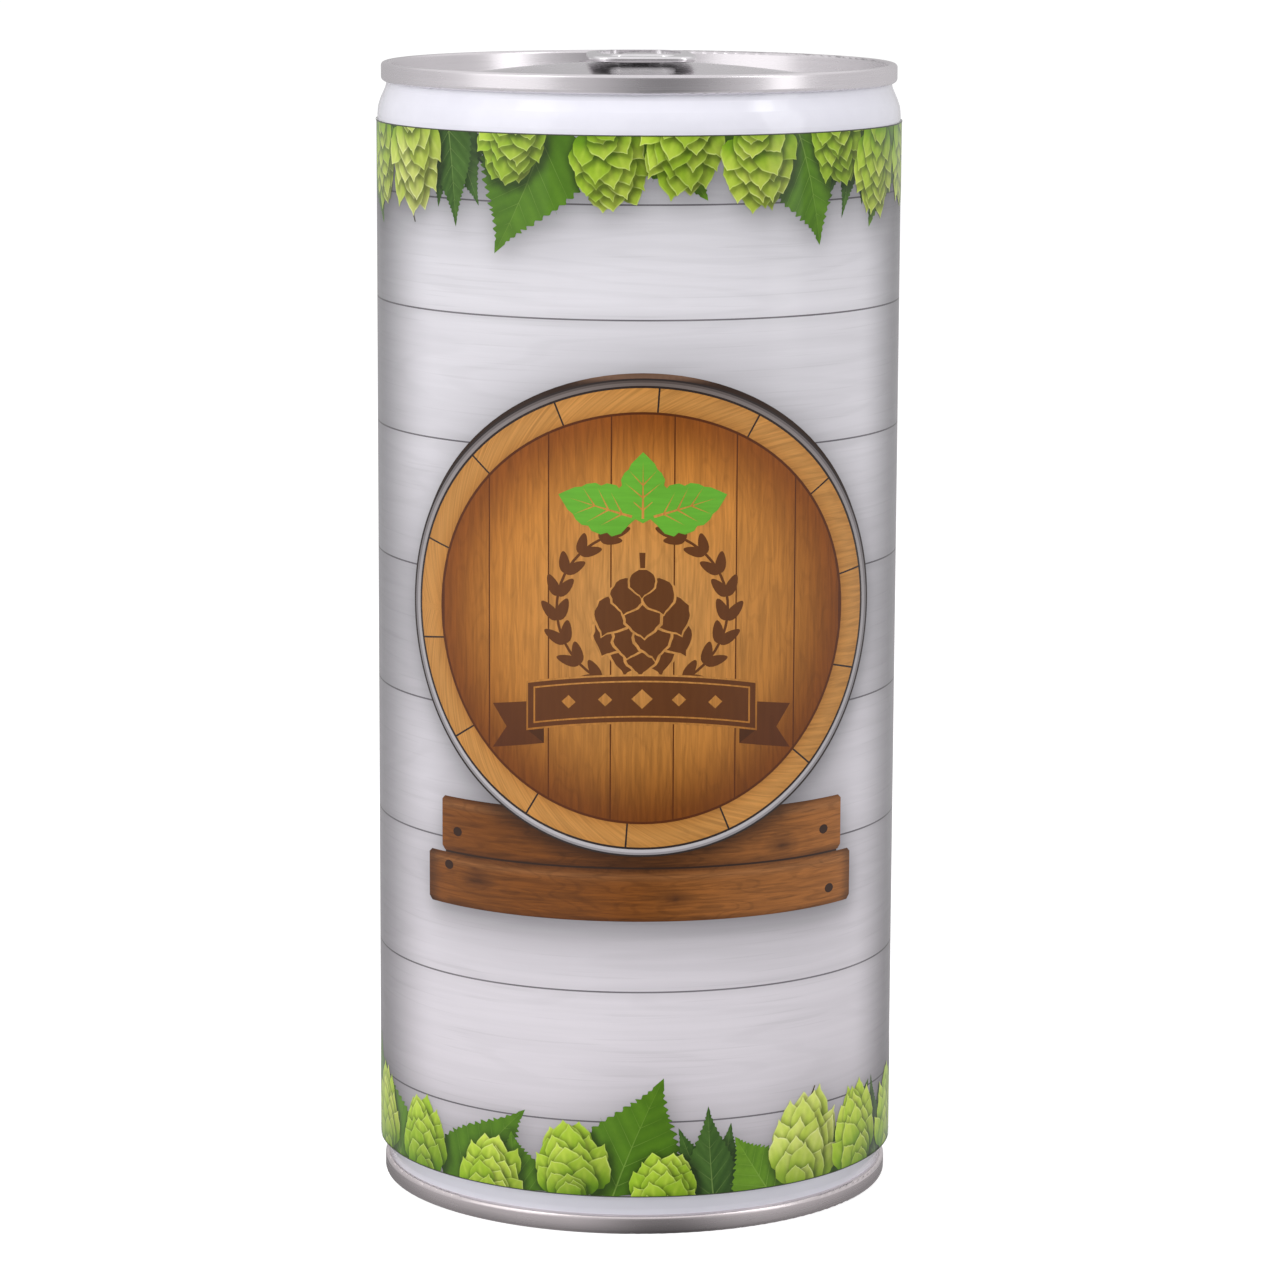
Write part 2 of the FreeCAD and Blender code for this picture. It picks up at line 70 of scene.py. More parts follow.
# ------ colour
def linear(rgb):
    """A colour as a screen shows it, 0 to 255, as scene-linear values."""
    c = np.asarray(rgb, float) / 255.0
    return np.where(c <= 0.04045, c / 12.92, ((c + 0.055) / 1.055) ** 2.4)


def lerp(a, b, t):
    t = np.clip(t, 0.0, 1.0)[..., None]
    return np.asarray(a) * (1 - t) + np.asarray(b) * t


def smooth(lo, hi, x):
    t = np.clip((x - lo) / (hi - lo), 0.0, 1.0)
    return t * t * (3 - 2 * t)


# ------ the print's plane
def spread(u):
    """Arc length round the can of a place u mm to the right of the front, seen from the front."""
    u = np.asarray(u, float)
    flat = np.clip(u / RADIUS, -0.98, 0.98)
    return 0.6 * RADIUS * np.arcsin(flat) + 0.4 * 1.16 * u


def outward(arc):
    """The film's normals at places round the can."""
    turn = np.asarray(arc) / RADIUS
    return np.column_stack([np.sin(turn), -np.cos(turn), np.zeros(len(turn))])


def wrap(arc, height, lift):
    """Points of the print's plane (mm) as places on the can (m), lifted off the film by mm."""
    place = outward(arc) * ((RADIUS + lift) / 1000)
    place[:, 2] = np.asarray(height) / 1000
    return place


def ring(count):
    """Angles once round, evenly spaced."""
    return [2 * math.pi * i / count for i in range(count)]


def sides(poly):
    """Each side of a polygon, from one corner to the next."""
    return zip(poly, list(poly[1:]) + [poly[0]])


def grained(x, y, z=0.0):
    """Places along the grain, z telling one piece of wood or one leaf from the next."""
    return np.column_stack([x, y, np.full(len(x), float(z))])


def area(poly):
    x, y = np.asarray(poly).T
    return 0.5 * float(np.sum(x * np.roll(y, -1) - np.roll(x, -1) * y))


def resample(poly, step):
    """The polygon's outline with no side longer than step."""
    out = []
    for (ax, ay), (bx, by) in sides(poly):
        count = max(1, int(math.ceil(math.hypot(bx - ax, by - ay) / step)))
        for i in range(count):
            out.append((ax + (bx - ax) * i / count, ay + (by - ay) * i / count))
    return out


def inside(poly, pts):
    """Which of the points lie inside the polygon."""
    x, y = pts[:, 0], pts[:, 1]
    hit = np.zeros(len(pts), bool)
    for (ax, ay), (bx, by) in sides(poly):
        if ay == by:
            continue
        crossing = (ay > y) != (by > y)
        hit ^= crossing & (x < (bx - ax) * (y - ay) / (by - ay) + ax)
    return hit


def distance(poly, pts):
    """How far each point is from the polygon, 0 inside it."""
    best = np.full(len(pts), 1e9)
    for (ax, ay), (bx, by) in sides(poly):
        dx, dy = bx - ax, by - ay
        along = ((pts[:, 0] - ax) * dx + (pts[:, 1] - ay) * dy) / max(dx * dx + dy * dy, 1e-12)
        along = np.clip(along, 0.0, 1.0)
        best = np.minimum(best, np.hypot(pts[:, 0] - ax - along * dx, pts[:, 1] - ay - along * dy))
    best[inside(poly, pts)] = 0.0
    return best


class Print:
    """Flat shapes in the print's plane that become one mesh on the can.

    Shapes of one group may overlap: a later one covers an earlier one exactly.
    Each shape has a paint function, which gives colours and grain coordinates.
    """

    def __init__(self, name, materials):
        self.name, self.materials = name, materials
        self.parts, self.count = [], 0

    def group(self, shapes, lift, step, clip=None, casters=()):
        """shapes: (polygon, paint, material number). clip: the heights between which to keep.

        casters: (polygon, order, reach), which throw soft shade on the shapes below that order.
        """
        points, faces = [], []

        def add_face(poly):
            faces.append(list(range(len(points), len(points) + len(poly))))
            points.extend(poly)

        for poly, _, _ in shapes:
            poly = resample(poly, step)
            add_face(poly[::-1] if area(poly) < 0 else poly)
        keep = None
        if clip is not None:
            keep = len(faces)
            left, right = min(p[0] for p in points) - 1, max(p[0] for p in points) + 1
            add_face([(left, clip[0]), (right, clip[0]), (right, clip[1]), (left, clip[1])])
        cloud = np.array(points)
        low, high = cloud.min(0), cloud.max(0)
        gx, gy = np.meshgrid(
            np.arange(low[0], high[0], step), np.arange(low[1], high[1], step * 0.9)
        )
        gx = gx + (np.arange(gx.shape[0]) % 2)[:, None] * step / 2
        grid = np.column_stack([gx.ravel(), gy.ravel()])
        wanted = np.zeros(len(grid), bool)
        for poly, _, _ in shapes:
            wanted |= inside(poly, grid)
        points += [tuple(p) for p in grid[wanted]]
        verts, _, tris, _, _, owners = delaunay_2d_cdt(
            [Vector(p) for p in points], [], faces, 1, 1e-4
        )
        verts = np.array([(v[0], v[1]) for v in verts])
        kept, top = [], []
        for tri, own in zip(tris, owners):
            if keep is not None:
                if keep not in own:
                    continue
                own = [o for o in own if o != keep]
            if own and len(tri) == 3:
                kept.append(tri)
                top.append(max(own))
        if not kept:
            return
        kept, top = np.array(kept), np.array(top)
        corner = verts[kept.ravel()]
        owner = np.repeat(top, 3)
        tint = np.zeros((len(owner), 3))
        grain = np.zeros((len(owner), 3))
        for k in np.unique(top):
            mine = owner == k
            tint[mine], grain[mine] = shapes[k][1](corner[mine, 0], corner[mine, 1])
        lit = np.ones(len(owner))
        for poly, order, reach in casters:
            low, high = np.min(poly, axis=0) - 3 * reach, np.max(poly, axis=0) + 3 * reach
            near = (owner < order) & np.all((corner > low) & (corner < high), axis=1)
            if near.any():
                away = distance(poly, corner[near] + (-0.4 * reach, 0.5 * reach))
                lit[near] *= 1 - 0.48 * np.exp(-((away / reach) ** 2))
        tint *= np.maximum(lit, 0.30)[:, None]
        used, index = np.unique(kept.ravel(), return_inverse=True)
        arc, height = verts[used].T
        faces = index.reshape(-1, 3) + self.count
        slots = np.array([shapes[k][2] for k in top])
        self.parts.append((wrap(arc, height, lift), faces, outward(arc), slots, tint, grain))
        self.count += len(used)

    def build(self):
        """One mesh object of all the groups."""
        return make_mesh(self.name, self.materials, *map(np.concatenate, zip(*self.parts)))


def make_mesh(name, materials, places, faces, normals, slots, tint, grain):
    """A mesh object with its own normals, and each corner's colour and place along the grain."""
    mesh = bpy.data.meshes.new(name)
    mesh.from_pydata(places.tolist(), [], faces.tolist())
    for material in materials:
        mesh.materials.append(material)
    mesh.polygons.foreach_set("material_index", slots.astype(np.int32))
    mesh.polygons.foreach_set("use_smooth", np.ones(len(faces), bool))
    mesh.update()
    mesh.normals_split_custom_set_from_vertices(normals.tolist())
    colours = np.column_stack([tint, np.ones(len(tint))])
    for layer, kind, field, values in (
        ("tint", "FLOAT_COLOR", "color", colours),
        ("grain", "FLOAT_VECTOR", "vector", grain),
    ):
        data = mesh.attributes.new(layer, kind, "CORNER").data
        data.foreach_set(field, values.astype(np.float32).ravel())
    obj = bpy.data.objects.new(name, mesh)
    bpy.context.scene.collection.objects.link(obj)
    return obj


# ------ nodes
def fill(tree, socket, value):
    """Sets a socket's value, or links another node's output to it."""
    if isinstance(value, bpy.types.NodeSocket):
        tree.links.new(value, socket)
    else:
        socket.default_value = value


def wire(tree, kind, inputs=None, out=0, **settings):
    """Adds a shader node, fills its inputs and gives one of its outputs."""
    made = tree.nodes.new("ShaderNode" + kind)
    for key, value in settings.items():
        setattr(made, key, value)
    for socket, value in (inputs or {}).items():
        fill(tree, made.inputs[socket], value)
    return made.outputs[out]


def maths(tree, kind, *values):
    return wire(tree, "Math", dict(enumerate(values)), operation=kind)


def span(tree, value, low, high, dark, light, kind="SMOOTHSTEP"):
    """Turns a value between low and high into one between dark and light."""
    names = ("Value", "From Min", "From Max", "To Min", "To Max")
    inputs = dict(zip(names, (value, low, high, dark, light)))
    return wire(tree, "MapRange", inputs, "Result", interpolation_type=kind)


def noise(tree, where, scale=1.0, detail=2.0, rough=0.5, twist=0.0):
    names = ("Vector", "Scale", "Detail", "Roughness", "Distortion")
    return wire(tree, "TexNoise", dict(zip(names, (where, scale, detail, rough, twist))), "Fac")


def times(tree, colour, level):
    inputs = {"Factor": 1.0, "A": colour, "B": level}
    return wire(tree, "Mix", inputs, "Result", data_type="RGBA", blend_type="MULTIPLY")


def parts_of(tree, vector):
    """The x, y and z of a vector."""
    return wire(tree, "SeparateXYZ", {0: vector}).node.outputs


def length_of(tree, x, y):
    """How far a place is from the can's axis."""
    flat = wire(tree, "CombineXYZ", {0: x, 1: y})
    return wire(tree, "VectorMath", {0: flat}, "Value", operation="LENGTH")


def principled(name):
    material = bpy.data.materials.new(name)
    material.use_nodes = True
    tree = material.node_tree
    return material, tree, tree.nodes["Principled BSDF"]


def finish(tree, shader, colour, roughness, height, strength, depth, **values):
    """Fills the shader: its colour, its roughness, a fine bump of some depth (m), and plain values."""
    bump = wire(tree, "Bump", {"Height": height, "Strength": strength, "Distance": depth})
    for socket, value in {"Base Color": colour, "Roughness": roughness, "Normal": bump}.items():
        fill(tree, shader.inputs[socket], value)
    for key, value in values.items():
        shader.inputs[key.replace("_", " ")].default_value = value


def rgba(rgb):
    return (*linear(rgb), 1.0)


# ------ materials
def film(name, along, across, depth, fibre=0.0, streak=0.0, arcs=0.0):
    """Printed film: the print's colours, with the grain that its picture shows.

    along, across: how fine the grain is each way, per mm. depth, streak, arcs: how much the
    fibres, the pores and the growth rings show. fibre: how much the fibres waver.
    """
    material, tree, shader = principled(name)
    grain = wire(tree, "Attribute", None, "Vector", attribute_name="grain")

    def stretched(x, y):
        return wire(tree, "Mapping", {"Vector": grain, "Scale": (x, y, 1.0)})

    fibres = noise(tree, stretched(along, across), 1.0, 6.0, 0.6, fibre)
    levels = [span(tree, fibres, 0.33, 0.67, 1 - depth, 1 + depth * 0.5)]
    if streak:
        pores = noise(tree, stretched(along * 1.7, across * 3.4), 1.0, 2.0, 0.5, 0.1)
        levels.append(span(tree, pores, 0.60, 0.68, 1.0, 1 - streak))
    if arcs:
        field = noise(tree, stretched(along * 0.45, across * 0.16), 1.0, 1.5)
        rings = maths(tree, "SINE", maths(tree, "MULTIPLY", field, 62.0))
        levels.append(span(tree, rings, 0.35, 1.0, 1.0, 1 - arcs))
    colour = wire(tree, "Attribute", None, "Color", attribute_name="tint")
    for level in levels:
        colour = times(tree, colour, level)
    fine = noise(tree, wire(tree, "TexCoord", None, "Object"), 900.0)
    roughness = span(tree, fine, 0.0, 1.0, 0.36, 0.48, "LINEAR")
    finish(
        tree, shader, colour, roughness, fine, 0.05, 0.00003,
        Coat_Weight=0.42, Coat_Roughness=0.09, Specular_IOR_Level=0.08,
    )
    return material


RIVET_HEAD = (0.1834, 0.1836)  # heights from which the rivet's head stays out of the painted shade under the tab (m)
PAINTED_TAB_SHADE = 0.20  # the painted shade's tone under the tab's middle
PAINTED_UNDERSIDE_SHADE = 0.75  # the painted shade's tone on undersides


def metal(name, colour, rough, scuff=0.0, under=False, shadow=None):
    """Satin aluminium: faint turned lines, a soft mottle, scuffs where asked, and painted shade where
    asked.

    under: painted shade on undersides. shadow: half width, low y, high y and turn of a place of painted
    shade under the tab (m, rad).
    """
    material, tree, shader = principled(name)
    place = wire(tree, "TexCoord", None, "Object")
    x, y, z = parts_of(tree, place)
    round_axis = (length_of(tree, x, y), 1700.0), (z, 1700.0), (maths(tree, "ARCTAN2", x, y), 2.2)
    scaled = [maths(tree, "MULTIPLY", value, factor) for value, factor in round_axis]
    lines = noise(tree, wire(tree, "CombineXYZ", dict(enumerate(scaled))))
    mottle = noise(tree, place, 70.0)
    worn = maths(tree, "ADD", lines, mottle)
    roughness = span(tree, worn, 0.6, 1.4, rough - 0.03, rough + 0.04, "LINEAR")
    tones = [
        span(tree, mottle, 0.3, 0.7, 0.965, 1.015, "LINEAR"),
        span(tree, lines, 0.3, 0.7, 0.975, 1.015, "LINEAR"),
    ]
    if under:
        # painted shade on surfaces that face down
        facing = parts_of(tree, place.node.outputs["Normal"])["Z"]
        tones.append(span(tree, facing, -0.75, -0.05, PAINTED_UNDERSIDE_SHADE, 1.0))
    if shadow is not None:
        # painted shade under the tab, kept off the rivet's head
        half, low, high, turn = shadow
        at = parts_of(tree, wire(tree, "Mapping", {"Vector": place, "Rotation": (0.0, 0.0, turn)}))
        powers = []
        for axis, middle, reach in (("X", 0.0, half), ("Y", (low + high) / 2, (high - low) / 2)):
            share = maths(tree, "DIVIDE", maths(tree, "SUBTRACT", at[axis], middle), reach)
            powers.append(maths(tree, "POWER", maths(tree, "ABSOLUTE", share), 2.5))
        above = span(tree, z, *RIVET_HEAD, 0.0, 1.0, "LINEAR")
        off = maths(tree, "ADD", maths(tree, "ADD", *powers), above)
        tones.append(span(tree, off, 0.25, 1.0, PAINTED_TAB_SHADE, 1.0))
    colour = rgba(colour)
    for tone in tones:
        colour = times(tree, colour, tone)
    if scuff > 0:
        coarse = noise(tree, place, 60.0, 1.0)
        nicks = maths(tree, "MULTIPLY", noise(tree, place, 420.0, 4.0, 0.6), coarse)
        cover = span(tree, nicks, 0.44, 0.48, 0.0, scuff, "LINEAR")
        inputs = {"Factor": cover, "A": colour, "B": rgba((84, 72, 70))}
        colour = wire(tree, "Mix", inputs, "Result", data_type="RGBA")
    finish(tree, shader, colour, roughness, lines, 0.03, 0.000004, Metallic=1.0)
    return material


def lacquer():
    """White lacquer over the steel wall: glossy, a touch blue, with a faint orange peel."""
    material, tree, shader = principled("white_lacquer")
    peel = noise(tree, wire(tree, "TexCoord", None, "Object"), 160.0, 3.0)
    inputs = {"Factor": peel, "A": rgba((228, 227, 238)), "B": rgba((238, 237, 247))}
    tone = wire(tree, "Mix", inputs, "Result", data_type="RGBA")
    roughness = span(tree, peel, 0.0, 1.0, 0.08, 0.14, "LINEAR")
    finish(tree, shader, tone, roughness, peel, 0.05, 0.00008, Coat_Weight=0.5, Coat_Roughness=0.05)
    return material


PLANK_FILM = film("film_pale_planks", 0.022, 0.55, 0.035, 0.10, 0.055, 0.03)
WOOD_FILM = film("film_warm_wood", 0.10, 1.5, 0.18, 0.35, 0.14, 0.08)
BOARD_FILM = film("film_dark_wood", 0.14, 1.9, 0.26, 0.4, 0.26, 0.16)
LEAF_FILM = film("film_hop_leaves", 1.1, 1.1, 0.05)
INK_FILM = film("film_ink", 0.12, 1.3, 0.07)
HOOP_FILM = film("film_hoop", 0.2, 0.2, 0.02)


# ------ planks
class Shade:
    """Soft shadow that the picture's shapes throw on its planks, kept on a grid."""

    CELL, MARGIN = 0.7, 21.0

    def __init__(self):
        self.across = int(round(ROUND / self.CELL))
        self.down = int((HEAD - FOOT + 2 * self.MARGIN) / self.CELL)
        self.cover = np.zeros((self.down, self.across))
        self.step = ROUND / self.across

    def add(self, poly):
        low, high = np.min(poly, axis=0), np.max(poly, axis=0)
        i0 = math.floor((low[0] + ROUND / 2) / self.step)
        i1 = math.ceil((high[0] + ROUND / 2) / self.step) + 1
        j0 = max(0, int((low[1] - FOOT + self.MARGIN) / self.CELL))
        j1 = min(self.down, int((high[1] - FOOT + self.MARGIN) / self.CELL) + 2)
        i, j = (index.ravel() for index in np.meshgrid(np.arange(i0, i1), np.arange(j0, j1)))
        where = np.column_stack([i * self.step - ROUND / 2, j * self.CELL + FOOT - self.MARGIN])
        hit = inside(poly, where)
        self.cover[j[hit], i[hit] % self.across] = 1.0

    def blurred(self, sigma):
        fx = np.fft.fftfreq(self.across, self.step)
        fy = np.fft.fftfreq(self.down, self.CELL)
        soft = np.exp(-2 * (math.pi * sigma) ** 2 * (fx[None, :] ** 2 + fy[:, None] ** 2))
        return np.real(np.fft.ifft2(np.fft.fft2(self.cover) * soft))

    def sample(self, field, arc, height):
        """A blurred field at places in the print's plane, even between its cells."""
        x = (arc + ROUND / 2) / self.step
        y = np.clip((height - FOOT + self.MARGIN) / self.CELL, 0, self.down - 1.001)
        i, j = np.floor(x).astype(int), np.floor(y).astype(int)
        fx, fy = x - i, y - j
        a, b = i % self.across, (i + 1) % self.across
        below = field[j, a] * (1 - fx) + field[j, b] * fx
        above = field[j + 1, a] * (1 - fx) + field[j + 1, b] * fx
        return below * (1 - fy) + above * fy


SHADE = Shade()
SIDE_FULL = 78.0  # degrees round from the front where the painted shade towards the sides is full
SIDE_BACK = (82.0, 104.0)  # where it fades again towards the back


def painted_shade(arc, height):
    """How dark the painted shade makes the planks: the soft shadows of the picture's shapes, and darker
    sides that stand in for the light falling off round the can. 1 where there is none.
    """
    near, wide = FIELDS
    shade = 1 - 0.30 * SHADE.sample(near, arc - 0.5, height + 1.2)
    shade *= 1 - 0.44 * SHADE.sample(wide, arc, height + 1.0)
    # painted shade towards the sides, fading again towards the back
    turn = np.degrees(np.abs(arc) / RADIUS)
    start = np.where(arc < 0, 48.5, 55.0)
    side = smooth(start, SIDE_FULL, turn) * (1 - smooth(*SIDE_BACK, turn))
    return shade * (1 - 0.50 * side)


def plank_paint(arc, height):
    base = lerp(linear((221, 215, 222)), linear((226, 224, 230)), (height - FOOT) / (HEAD - FOOT))
    plank = np.searchsorted(SEAMS, height)
    tone = 1 + 0.022 * np.sin(plank * 2.7 + 0.6) + 0.012 * np.sin(arc / 19 + plank * 1.9)
    to_seam = np.min([np.abs(height - s) for s in SEAMS], axis=0)
    tone = tone * (1 - 0.07 * np.exp(-((to_seam / 0.9) ** 2)))
    # painted shade on the planks: the shapes' soft shadows and the darker sides
    tint = base * (tone * painted_shade(arc, height) ** 1.6)[:, None]
    return tint, grained(arc + plank * 37.0, height + plank * 5.0)


def seam_paint(arc, height):
    dark = linear((118, 114, 119))
    fade = 0.75 + 0.25 * np.sin(arc / 7.3 + height) * np.sin(arc / 3.1 + height * 2)
    # the seams take the painted shade too
    tint = dark * (painted_shade(arc, height) ** 1.2 * (1.35 - 0.45 * fade))[:, None]
    return tint, grained(arc, height)


SEAM_HALF = 0.13  # mm
FILM_THICK = 0.13  # mm
ROW_HEIGHT = 1.6  # mm, the highest row of a plank's faces
COLUMNS = 264


def build_wrap():
    """The film itself: planks all round, thin dark seams, and the film's two cut edges."""
    rows = [FOOT, *(seam + side for seam in SEAMS for side in (-SEAM_HALF, SEAM_HALF)), HEAD]
    heights, paints = [], []
    for low, high in zip(rows[:-1], rows[1:]):
        thin = high - low < 0.5
        count = 1 if thin else math.ceil((high - low) / ROW_HEIGHT)
        heights += [low + (high - low) * i / count for i in range(count)]
        paints += [seam_paint if thin else plank_paint] * count
    heights.append(HEAD)
    arcs = np.linspace(-ROUND / 2, ROUND / 2, COLUMNS + 1)
    wide = len(arcs)
    arc, height = np.tile(arcs, len(heights)), np.repeat(heights, wide)
    places, normals = [wrap(arc, height, 0.0)], [outward(arc)]
    faces, tints, grains = [], [], []
    for row, paint in enumerate(paints):
        a = row * wide + np.arange(COLUMNS)
        faces.append(np.column_stack([a, a + 1, a + 1 + wide, a + wide]))
        corner = faces[-1].ravel()
        tint, grain = paint(arc[corner], height[corner])
        tints.append(tint)
        grains.append(grain)
    start = len(arc)
    for edge, sign in ((FOOT, -1.0), (HEAD, 1.0)):
        for lift in (0.0, -FILM_THICK):
            places.append(wrap(arcs, np.full(wide, edge), lift))
            normals.append(np.tile([0.0, 0.0, sign], (wide, 1)))
        a = start + np.arange(COLUMNS)
        b = a + wide
        faces.append(np.column_stack([a, b, b + 1, a + 1] if sign < 0 else [a, a + 1, b + 1, b]))
        tints.append(np.tile(linear((214, 213, 214)), (4 * COLUMNS, 1)))
        grains.append(np.zeros((4 * COLUMNS, 3)))
        start += 2 * wide
    slots = [np.zeros(len(faces) * COLUMNS)]
    parts = (places, faces, normals, slots, tints, grains)
    return make_mesh("print_wrap", [PLANK_FILM], *map(np.concatenate, parts))


# ------ hop leaves and cones
LEAF_TONES = {
    "mid": ((80, 122, 22), (100, 144, 34), (52, 88, 10)),
    "bright": ((94, 138, 26), (118, 160, 40), (62, 102, 14)),
    "deep": ((58, 92, 32), (84, 120, 50), (30, 58, 16)),
}
LEAF_AT = (0.0, 0.05, 0.14, 0.27, 0.42, 0.57, 0.70, 0.80, 0.89, 1.0)
LEAF_OUT = (0.12, 0.58, 0.91, 1.0, 0.88, 0.66, 0.42, 0.24, 0.11, 0.0)


def turned(points, origin, angle):
    """Points of a motif, drawn along +x from 0, turned by an angle and moved."""
    c, s = math.cos(angle), math.sin(angle)
    return [(origin[0] + x * c - y * s, origin[1] + x * s + y * c) for x, y in points]


def local(arc, height, origin, angle):
    """The motif's own coordinates of places in the print's plane."""
    c, s = math.cos(angle), math.sin(angle)
    x, y = arc - origin[0], height - origin[1]
    return x * c + y * s, -x * s + y * c


def leaf_half(length, width, rnd):
    """One side of a toothed leaf's outline, from the base to the drawn-out tip."""
    side = []
    t = 0.02
    while t < 0.93:
        gap = rnd.uniform(0.036, 0.064) * (1.0 if t < 0.7 else 0.8)
        fade = min(1.0, 3.6 * (1 - t)) * min(1.0, 0.3 + 5 * t)
        deep = 0.040 * width * rnd.uniform(0.5, 1.3) * fade
        for along, out in ((0.0, -0.55), (0.30, -0.10), (0.62, 0.62), (0.78, 0.50)):
            s = t + along * gap
            body = 0.5 * width * float(np.interp(s, LEAF_AT, LEAF_OUT))
            side.append((s * length, max(0.05, body + deep * out)))
        t += gap
    return side


# A leaf is its blade, its ten side veins and its middle vein
LEAF_SHAPES = 12


def leaf(origin, angle, length, width, tone, seed, bend=0.0):
    """A hop leaf: its blade and its veins, as shapes for a group."""
    rnd = random.Random(seed)
    up = leaf_half(length, width * rnd.uniform(0.92, 1.08), rnd)
    down = [(x, -y) for x, y in leaf_half(length, width * rnd.uniform(0.92, 1.08), rnd)]
    outline = [(0.0, 0.0)] + up + [(length, 0.0)] + down[::-1]

    def sway(x):
        return bend * width * (x / length) ** 2

    def curve(points):
        return [(x, y + sway(x)) for x, y in points]

    base, light, dark = (linear(c) for c in LEAF_TONES[tone])
    pairs = 6
    lean = 0.80
    glow = rnd.uniform(-0.30, 0.25)

    def blade(arc, height):
        x, y = local(arc, height, origin, angle)
        y = y - sway(x)
        side = np.where(y > 0, 1.0, -1.0)
        order = (x / length - np.abs(y) / width * lean) * (pairs + 0.6)
        quilt = 0.5 + 0.5 * np.cos(2 * np.pi * (order - 0.5))
        tint = lerp(base, light, 0.32 * quilt + 0.16 * side + glow)
        tint = lerp(tint, dark, 0.34 * (1 - quilt) * (0.6 - 0.25 * side))
        rim = np.abs(y) / (0.5 * width)
        tint = lerp(tint, dark, 0.20 * smooth(0.5, 1.05, rim) + 0.40 * (1 - smooth(0.0, 0.5, x / length)))
        tint = tint * (1 + 0.06 * np.sin(x * 0.9 + seed) * np.sin(y * 0.7 + seed))[:, None]
        return tint, grained(x, y, seed)

    def vein(arc, height):
        x, y = local(arc, height, origin, angle)
        tint = lerp(base, light, np.full(len(x), 0.55 + glow))
        tint = lerp(tint, linear((186, 202, 122)), 0.05 + 0.13 * (1 - x / length))
        return tint, grained(x, y, seed)

    shapes = [(turned(curve(outline), origin, angle), blade, 0)]
    for i in range(1, pairs):
        root = length * (i / (pairs + 0.6))
        for side in (1, -1):
            reach = 0.5 * width * float(np.interp(root / length + 0.14, LEAF_AT, LEAF_OUT)) * 0.80
            tip = (root + reach / width * 2 * lean * width * 0.62, side * reach)
            line = [(root - 0.07, 0.0), (root + 0.07, 0.0)]
            line += [(tip[0] + 0.02, tip[1]), (tip[0] - 0.02, tip[1])]
            shapes.append((turned(curve(line), origin, angle), vein, 0))
    widths = ((0.0, 0.13), (0.25, 0.11), (0.5, 0.08), (0.75, 0.05), (0.94, 0.02))
    mid = [(x * length, half) for x, half in widths]
    mid += [(x, -y) for x, y in reversed(mid)]
    shapes.append((turned(curve(mid), origin, angle), vein, 0))
    return shapes


def lobed(origin, angle, length, width, tone, seed):
    """A lobed leaf: five narrow toothed lobes from one base."""
    shapes = []
    lobes = ((0.72, 0.62), (-0.72, 0.66), (0.34, 0.88), (-0.36, 0.84), (0.0, 1.0))
    for number, (way, reach) in enumerate(lobes):
        bend = 0.1 if way < 0 else -0.1
        shapes += leaf(origin, angle + way, length * reach, width * 0.52, tone, seed + number, bend)
    return shapes


BRACT_AT = (0.02, 0.10, 0.20, 0.32, 0.44, 0.56, 0.67, 0.76, 0.84, 0.91, 0.96)
BRACT_OUT = (0.30, 0.60, 0.83, 0.96, 1.0, 0.97, 0.88, 0.74, 0.55, 0.34, 0.17)


def bract_outline(length, width, rnd):
    """A cone's scale: broad and papery, with a short pointed end."""
    side = [(t, w * rnd.uniform(0.94, 1.06)) for t, w in zip(BRACT_AT, BRACT_OUT)]
    up = [(t * length, 0.5 * width * w) for t, w in side]
    down = [
        (t * length * rnd.uniform(0.98, 1.02), -0.5 * width * w * rnd.uniform(0.95, 1.05))
        for t, w in reversed(side)
    ]
    sway = rnd.uniform(-0.10, 0.10) * width
    outline = up + [(length * rnd.uniform(1.02, 1.10), 0.0)] + down
    return [(x, y + sway * (x / length) ** 2) for x, y in outline]


# From the tip to the stem: where a row starts, its scales across, and their size in cones
CONE_ROWS = (
    (0.55, (-0.36, 0.38, 0.02), 0.44, 0.44),
    (0.42, (-0.84, 0.82, -0.26, 0.30), 0.45, 0.43),
    (0.28, (-1.02, 1.02, -0.50, 0.48, 0.0), 0.44, 0.42),
    (0.15, (-0.98, 1.0, -0.30, 0.32), 0.42, 0.44),
    (0.04, (-0.62, 0.60, 0.0), 0.36, 0.42),
    (-0.03, (-0.16, 0.22), 0.24, 0.34),
)
CONE_TONES = (
    # rim, pale, fresh, deep, dark: papery, green, and washed out
    ((232, 238, 164), (206, 219, 90), (158, 191, 36), (94, 140, 10), (52, 90, 6)),
    ((206, 224, 124), (170, 203, 54), (120, 164, 22), (70, 116, 10), (40, 76, 6)),
    ((240, 243, 190), (220, 226, 130), (186, 204, 72), (130, 164, 42), (84, 120, 30)),
)


